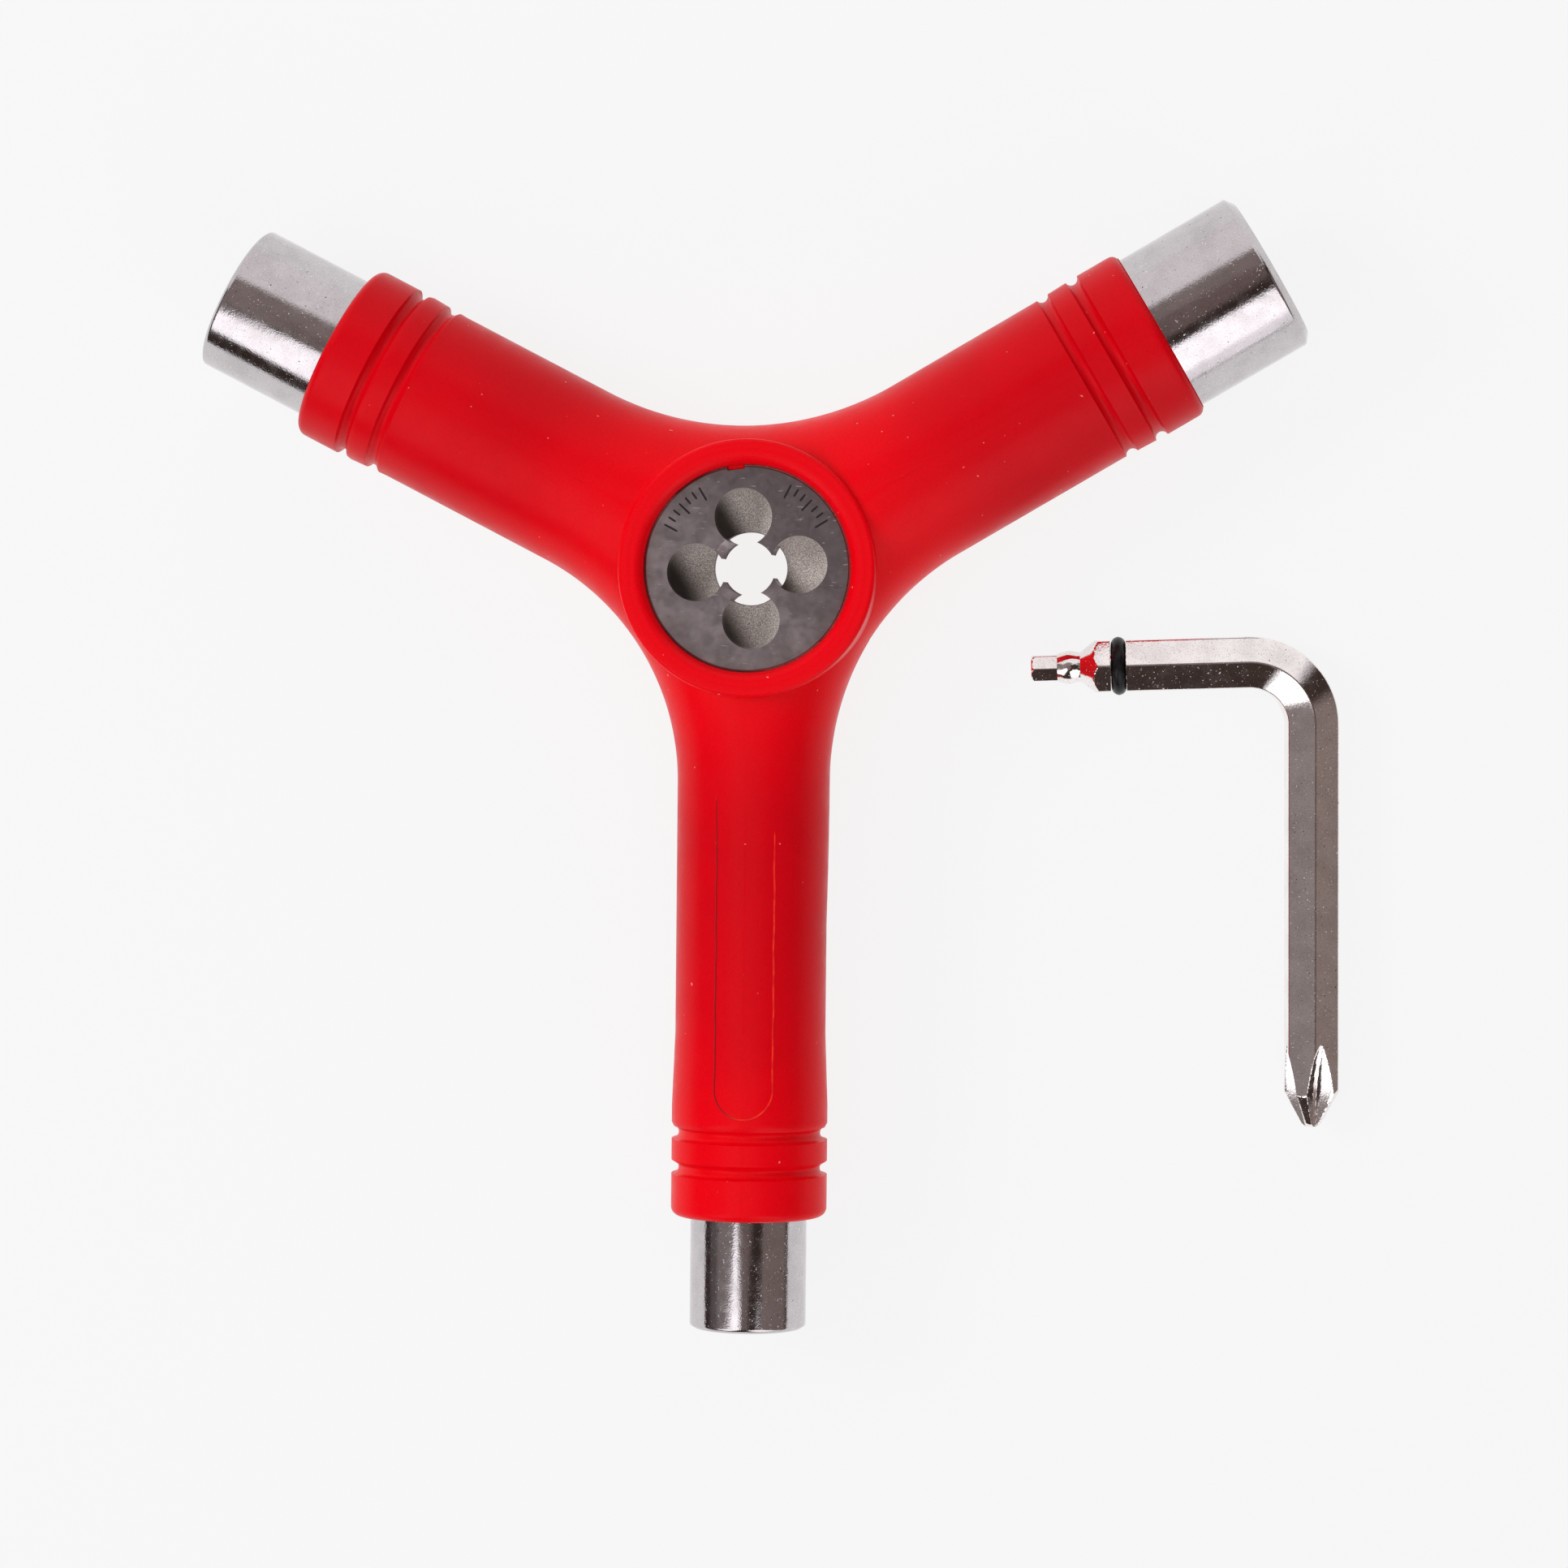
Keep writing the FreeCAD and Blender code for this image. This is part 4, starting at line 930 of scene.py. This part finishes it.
def make_ring():
    """Rubber ring with its fine mould line."""
    short_tip, corner, _ = key_spine()
    into = (corner - short_tip).normalized()
    profile = []
    for step in range(RING_STEPS):
        angle = 2 * math.pi * step / RING_STEPS
        line = MOULD_LINE * math.exp(-(math.sin(angle / 2) / MOULD_SPREAD) ** 2)
        reach = RING_SECTION + line
        profile.append((RING_CENTRE + reach * math.cos(angle), reach * math.sin(angle)))
    bm = bmesh.new()
    add_rings(bm, turned(profile, RING_SEGMENTS), closed=True)
    place = Matrix.Translation((short_tip + into * RING_STATION) * MM) @ outward_frame(into)
    piece = finish_mesh(bm, "rubber_ring", RUBBER, "key", sharp_angle=60, matrix=place)
    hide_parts("o_ring")


# --------------------------------------------------------- small features

WITNESS_HALF = 3.6      # half-width of the mould insert's outline
WITNESS_FROM = 28.4     # where it fades in, from the hub's axis
WITNESS_FADE = 9.0      # length of that fade
WITNESS_TO = 68.0       # bottom of its round end
WITNESS_STEPS = 70      # points in each of its straight sides
ROUND_STEPS = 32        # and in its round end
LINE_POINTS = 8         # points in the line's section
LINE_HALF = 0.10        # half-width of the line
LINE_LOW = 0.002        # half-height of its section, at its ends
LINE_HIGH = 0.055       # how much that grows after the fade
LINE_LIFT = 0.012       # the section's middle above the arm
LINE_SINK = 0.02        # how far it is sunk at its ends
LINE_WANDER = 0.05      # how far the line strays from straight
TICK_MIDDLES = (47.0, 137.0)    # azimuths of the two groups of ticks
TICKS = 7               # ticks in a group; every third one is long
TICK_PITCH = 5.2        # degrees
TICK_OUTER = 11.6       # distance of the ticks' outer ends from the axis
LONG_TICK = 1.9
SHORT_TICK = 1.1
TICK_HALF = 0.13        # half-width of a tick
TICK_POINTS = 12
TICK_SUNK = 0.05        # from the die's face down to a tick's bottom
TICK_HEIGHT = 0.06      # from there to its top, a hair above the face


def arm_top(across, station):
    """Height of the long arm's upper surface."""
    reach = shaft_radius("long", station)
    height = arm_height("long", station) - LONG_RADIUS + reach
    return height * math.sqrt(1 - (across / reach) ** 2)


def make_witness_line():
    """Fine raised outline that a mould insert left on the long arm."""
    turn_at = WITNESS_TO - WITNESS_HALF
    straight = turn_at - WITNESS_FROM
    points = []
    for step in range(WITNESS_STEPS):
        points.append((-WITNESS_HALF, WITNESS_FROM + straight * step / WITNESS_STEPS))
    for step in range(ROUND_STEPS + 1):
        angle = math.pi * step / ROUND_STEPS
        points.append((-WITNESS_HALF * math.cos(angle), turn_at + WITNESS_HALF * math.sin(angle)))
    points += [(-across, station) for across, station in reversed(points[:WITNESS_STEPS])]
    rings = []
    for index, (across, station) in enumerate(points):
        before = points[max(0, index - 1)]
        after = points[min(len(points) - 1, index + 1)]
        heading = Vector((after[0] - before[0], -(after[1] - before[1]), 0)).normalized()
        side = Vector((-heading.y, heading.x, 0))
        fade = smoothstep(WITNESS_FROM, WITNESS_FROM + WITNESS_FADE, station)
        wander = LINE_WANDER * math.sin(station * 0.9) * math.sin(station * 0.37)
        ring = []
        for step in range(LINE_POINTS):
            angle = 2 * math.pi * step / LINE_POINTS
            place = Vector((across, -station, 0)) + side * (LINE_HALF * math.cos(angle) + wander)
            rise = (LINE_HIGH * fade + LINE_LOW) * math.sin(angle)
            place.z = arm_top(place.x, -place.y) + LINE_LIFT + rise - LINE_SINK * (1 - fade)
            ring.append(place)
        rings.append(ring)
    bm = bmesh.new()
    add_rings(bm, rings)
    finish_mesh(bm, "insert_witness_line", FLASH, "tool", sharp_angle=60)


def rounded_power(value, power):
    """Power of a number between -1 and 1 that keeps its sign."""
    return math.copysign(abs(value) ** power, value)


def make_die_marks():
    """Plain stamped ticks on the die's face: a size scale with no lettering."""
    floor = Vector((0, 0, node_top("thread_die") - TICK_SUNK))
    bm = bmesh.new()
    for middle in TICK_MIDDLES:
        for index in range(TICKS):
            angle = math.radians(middle + (index - TICKS // 2) * TICK_PITCH)
            length = LONG_TICK if index % 3 == 0 else SHORT_TICK
            along = Vector((math.cos(angle), math.sin(angle), 0))
            across = Vector((-along.y, along.x, 0))
            low = []
            for step in range(TICK_POINTS):
                corner = 2 * math.pi * step / TICK_POINTS
                bulge = length / 2 * rounded_power(math.cos(corner), 0.4)
                side = TICK_HALF * rounded_power(math.sin(corner), 0.6)
                place = along * (TICK_OUTER - length / 2 + bulge) + across * side
                low.append(place + floor)
            high = [point + Vector((0, 0, TICK_HEIGHT)) for point in low]
            add_rings(bm, [low, high])
    finish_mesh(bm, "stamped_ticks", MARK, "tool", sharp_angle=40)


# ------------------------------------------------------------------- build

for socket_node in SOCKETS:
    make_socket(socket_node)
make_handle()
make_key()
make_ring()
make_witness_line()
make_die_marks()
die = frame["nodes"]["thread_die"]
die.data.materials.clear()
die.data.materials.append(DIE)


# ------------------------------------------------------------------ studio

FLOOR_GAP = 0.00005     # metres; keeps the floor clear of the faces that lie on it
FLOOR_REACH = 1.5       # metres from the middle to a side
SIDE_SOFT = 7           # degrees over which a card fades, inside and outside
LOW_SOFT = 4            # of its ends, of its lower edge and of its upper edge
HIGH_SOFT = 3
ROOM = (0.045, 0.030, 0.026)
BACKDROP = (0.93, 0.93, 0.93)   # what the camera sees beyond the floor
WARM_WHITE = (1.0, 0.98, 0.98)


def make_floor():
    """Plain pale floor that glows a little, like a light table."""
    material = bpy.data.materials.new("pale_floor")
    material.use_nodes = True
    shader = material.node_tree.nodes["Principled BSDF"]
    shader.inputs["Base Color"].default_value = (0.08, 0.08, 0.08, 1)
    shader.inputs["Roughness"].default_value = 0.9
    shader.inputs["Specular IOR Level"].default_value = 0.0
    shader.inputs["Emission Color"].default_value = (1, 1, 1, 1)
    shader.inputs["Emission Strength"].default_value = 0.86
    low = cad_box[0].z - FLOOR_GAP
    bm = bmesh.new()
    corners = [(-1, -1), (1, -1), (1, 1), (-1, 1)]
    bm.faces.new([bm.verts.new((x * FLOOR_REACH, y * FLOOR_REACH, low)) for x, y in corners])
    mesh = bpy.data.meshes.new("floor")
    bm.to_mesh(mesh)
    bm.free()
    mesh.materials.append(material)
    floor = bpy.data.objects.new("floor", mesh)
    scene.collection.objects.link(floor)


def make_world():
    """Dark room with soft light cards; each card is given by the azimuth of
    its middle, its half-width, its lowest and highest elevation, all of them
    in degrees, and its colour."""
    cards = [
        (95, 52, -5, 66, (0.94, 0.90, 0.91)),
        (-57, 20, 1, 60, (1.2, 1.17, 1.2)),
        (-57, 20, 20, 60, (1.8, 1.77, 1.8)),
        (-137, 20, 24, 76, (1.75, 1.72, 1.75)),
        (180, 24, 14, 62, (0.13, 0.11, 0.108)),
        (180, 24, 30, 62, (0.25, 0.213, 0.208)),
        (-8, 26, 5, 56, (0.23, 0.18, 0.165)),
        (120, 70, 55, 95, (0.27, 0.22, 0.21)),
        (-120, 50, 72, 95, (0.26, 0.22, 0.21)),
        (-60, 179, 76, 95, (0.19, 0.14, 0.13)),
    ]
    world = bpy.data.worlds.new("studio")
    scene.world = world
    world.use_nodes = True
    tree = world.node_tree
    tree.nodes.clear()
    x, y, z = split(tree, tree.nodes.new("ShaderNodeTexCoord").outputs["Generated"])
    flat = flat_length(tree, x, y)
    light = ROOM + (1,)
    for azimuth, half, low, high, colour in cards:
        middle = math.radians(azimuth)
        along = math_node(tree, "ADD", math_node(tree, "MULTIPLY", x, math.cos(middle)),
                          math_node(tree, "MULTIPLY", y, math.sin(middle)))
        facing = math_node(tree, "DIVIDE", along, flat)
        inside = ramp(tree, facing, math.cos(math.radians(min(180, half + SIDE_SOFT))),
                      math.cos(math.radians(half - SIDE_SOFT)))
        above = ramp(tree, z, math.sin(math.radians(low - LOW_SOFT)),
                     math.sin(math.radians(low + LOW_SOFT)))
        below = 1.0
        if high < 90:
            below = ramp(tree, z, math.sin(math.radians(high + HIGH_SOFT)),
                         math.sin(math.radians(high - HIGH_SOFT)))
        share = math_node(tree, "MULTIPLY", inside, math_node(tree, "MULTIPLY", above, below))
        light = mix_colour(tree, share, light, colour + (1,))
    seen = tree.nodes.new("ShaderNodeLightPath").outputs["Is Camera Ray"]
    light = mix_colour(tree, seen, light, BACKDROP + (1,))
    background = add_node(tree, "ShaderNodeBackground", {"Color": light, "Strength": 1.0})
    output = tree.nodes.new("ShaderNodeOutputWorld")
    tree.links.new(background.outputs["Background"], output.inputs["Surface"])


def make_fill(name, place, size, energy):
    """Large soft light that mirrors don't show; place and size are in metres."""
    data = bpy.data.lights.new(name, "AREA")
    data.shape = "DISK"
    data.size = size
    data.energy = energy
    data.color = WARM_WHITE
    lamp = bpy.data.objects.new(name, data)
    lamp.location = place
    lamp.rotation_mode = "QUATERNION"
    lamp.rotation_quaternion = (-Vector(place)).to_track_quat("-Z", "Y")
    lamp.visible_glossy = False
    scene.collection.objects.link(lamp)


def make_camera():
    """Camera nearly straight above the tool, a little to the right of it."""
    place = Vector((58.5, -5.9, 636.1)) * MM
    target = Vector((3.91, -26.76, 0.0)) * MM
    data = bpy.data.cameras.new("camera")
    data.lens = 117.4
    data.sensor_width = 36.0
    data.clip_start = 0.01
    data.clip_end = 10.0
    camera = bpy.data.objects.new("camera", data)
    ahead = (target - place).normalized()
    right = ahead.cross(Vector((0, 1, 0))).normalized()
    above = right.cross(ahead)
    roll = 0.010        # radians
    across = right * math.cos(roll) + above * math.sin(roll)
    upward = above * math.cos(roll) - right * math.sin(roll)
    turn = Matrix((across, upward, -ahead)).transposed().to_4x4()
    camera.matrix_world = Matrix.Translation(place) @ turn
    scene.collection.objects.link(camera)
    scene.camera = camera


make_floor()
make_world()
make_fill("overhead_fill", (0.0, -0.1, 0.9), size=0.8, energy=1.3)
make_fill("left_fill", (-0.65, 0.15, 0.6), size=0.35, energy=3.0)
make_camera()
scene.view_settings.view_transform = "Standard"
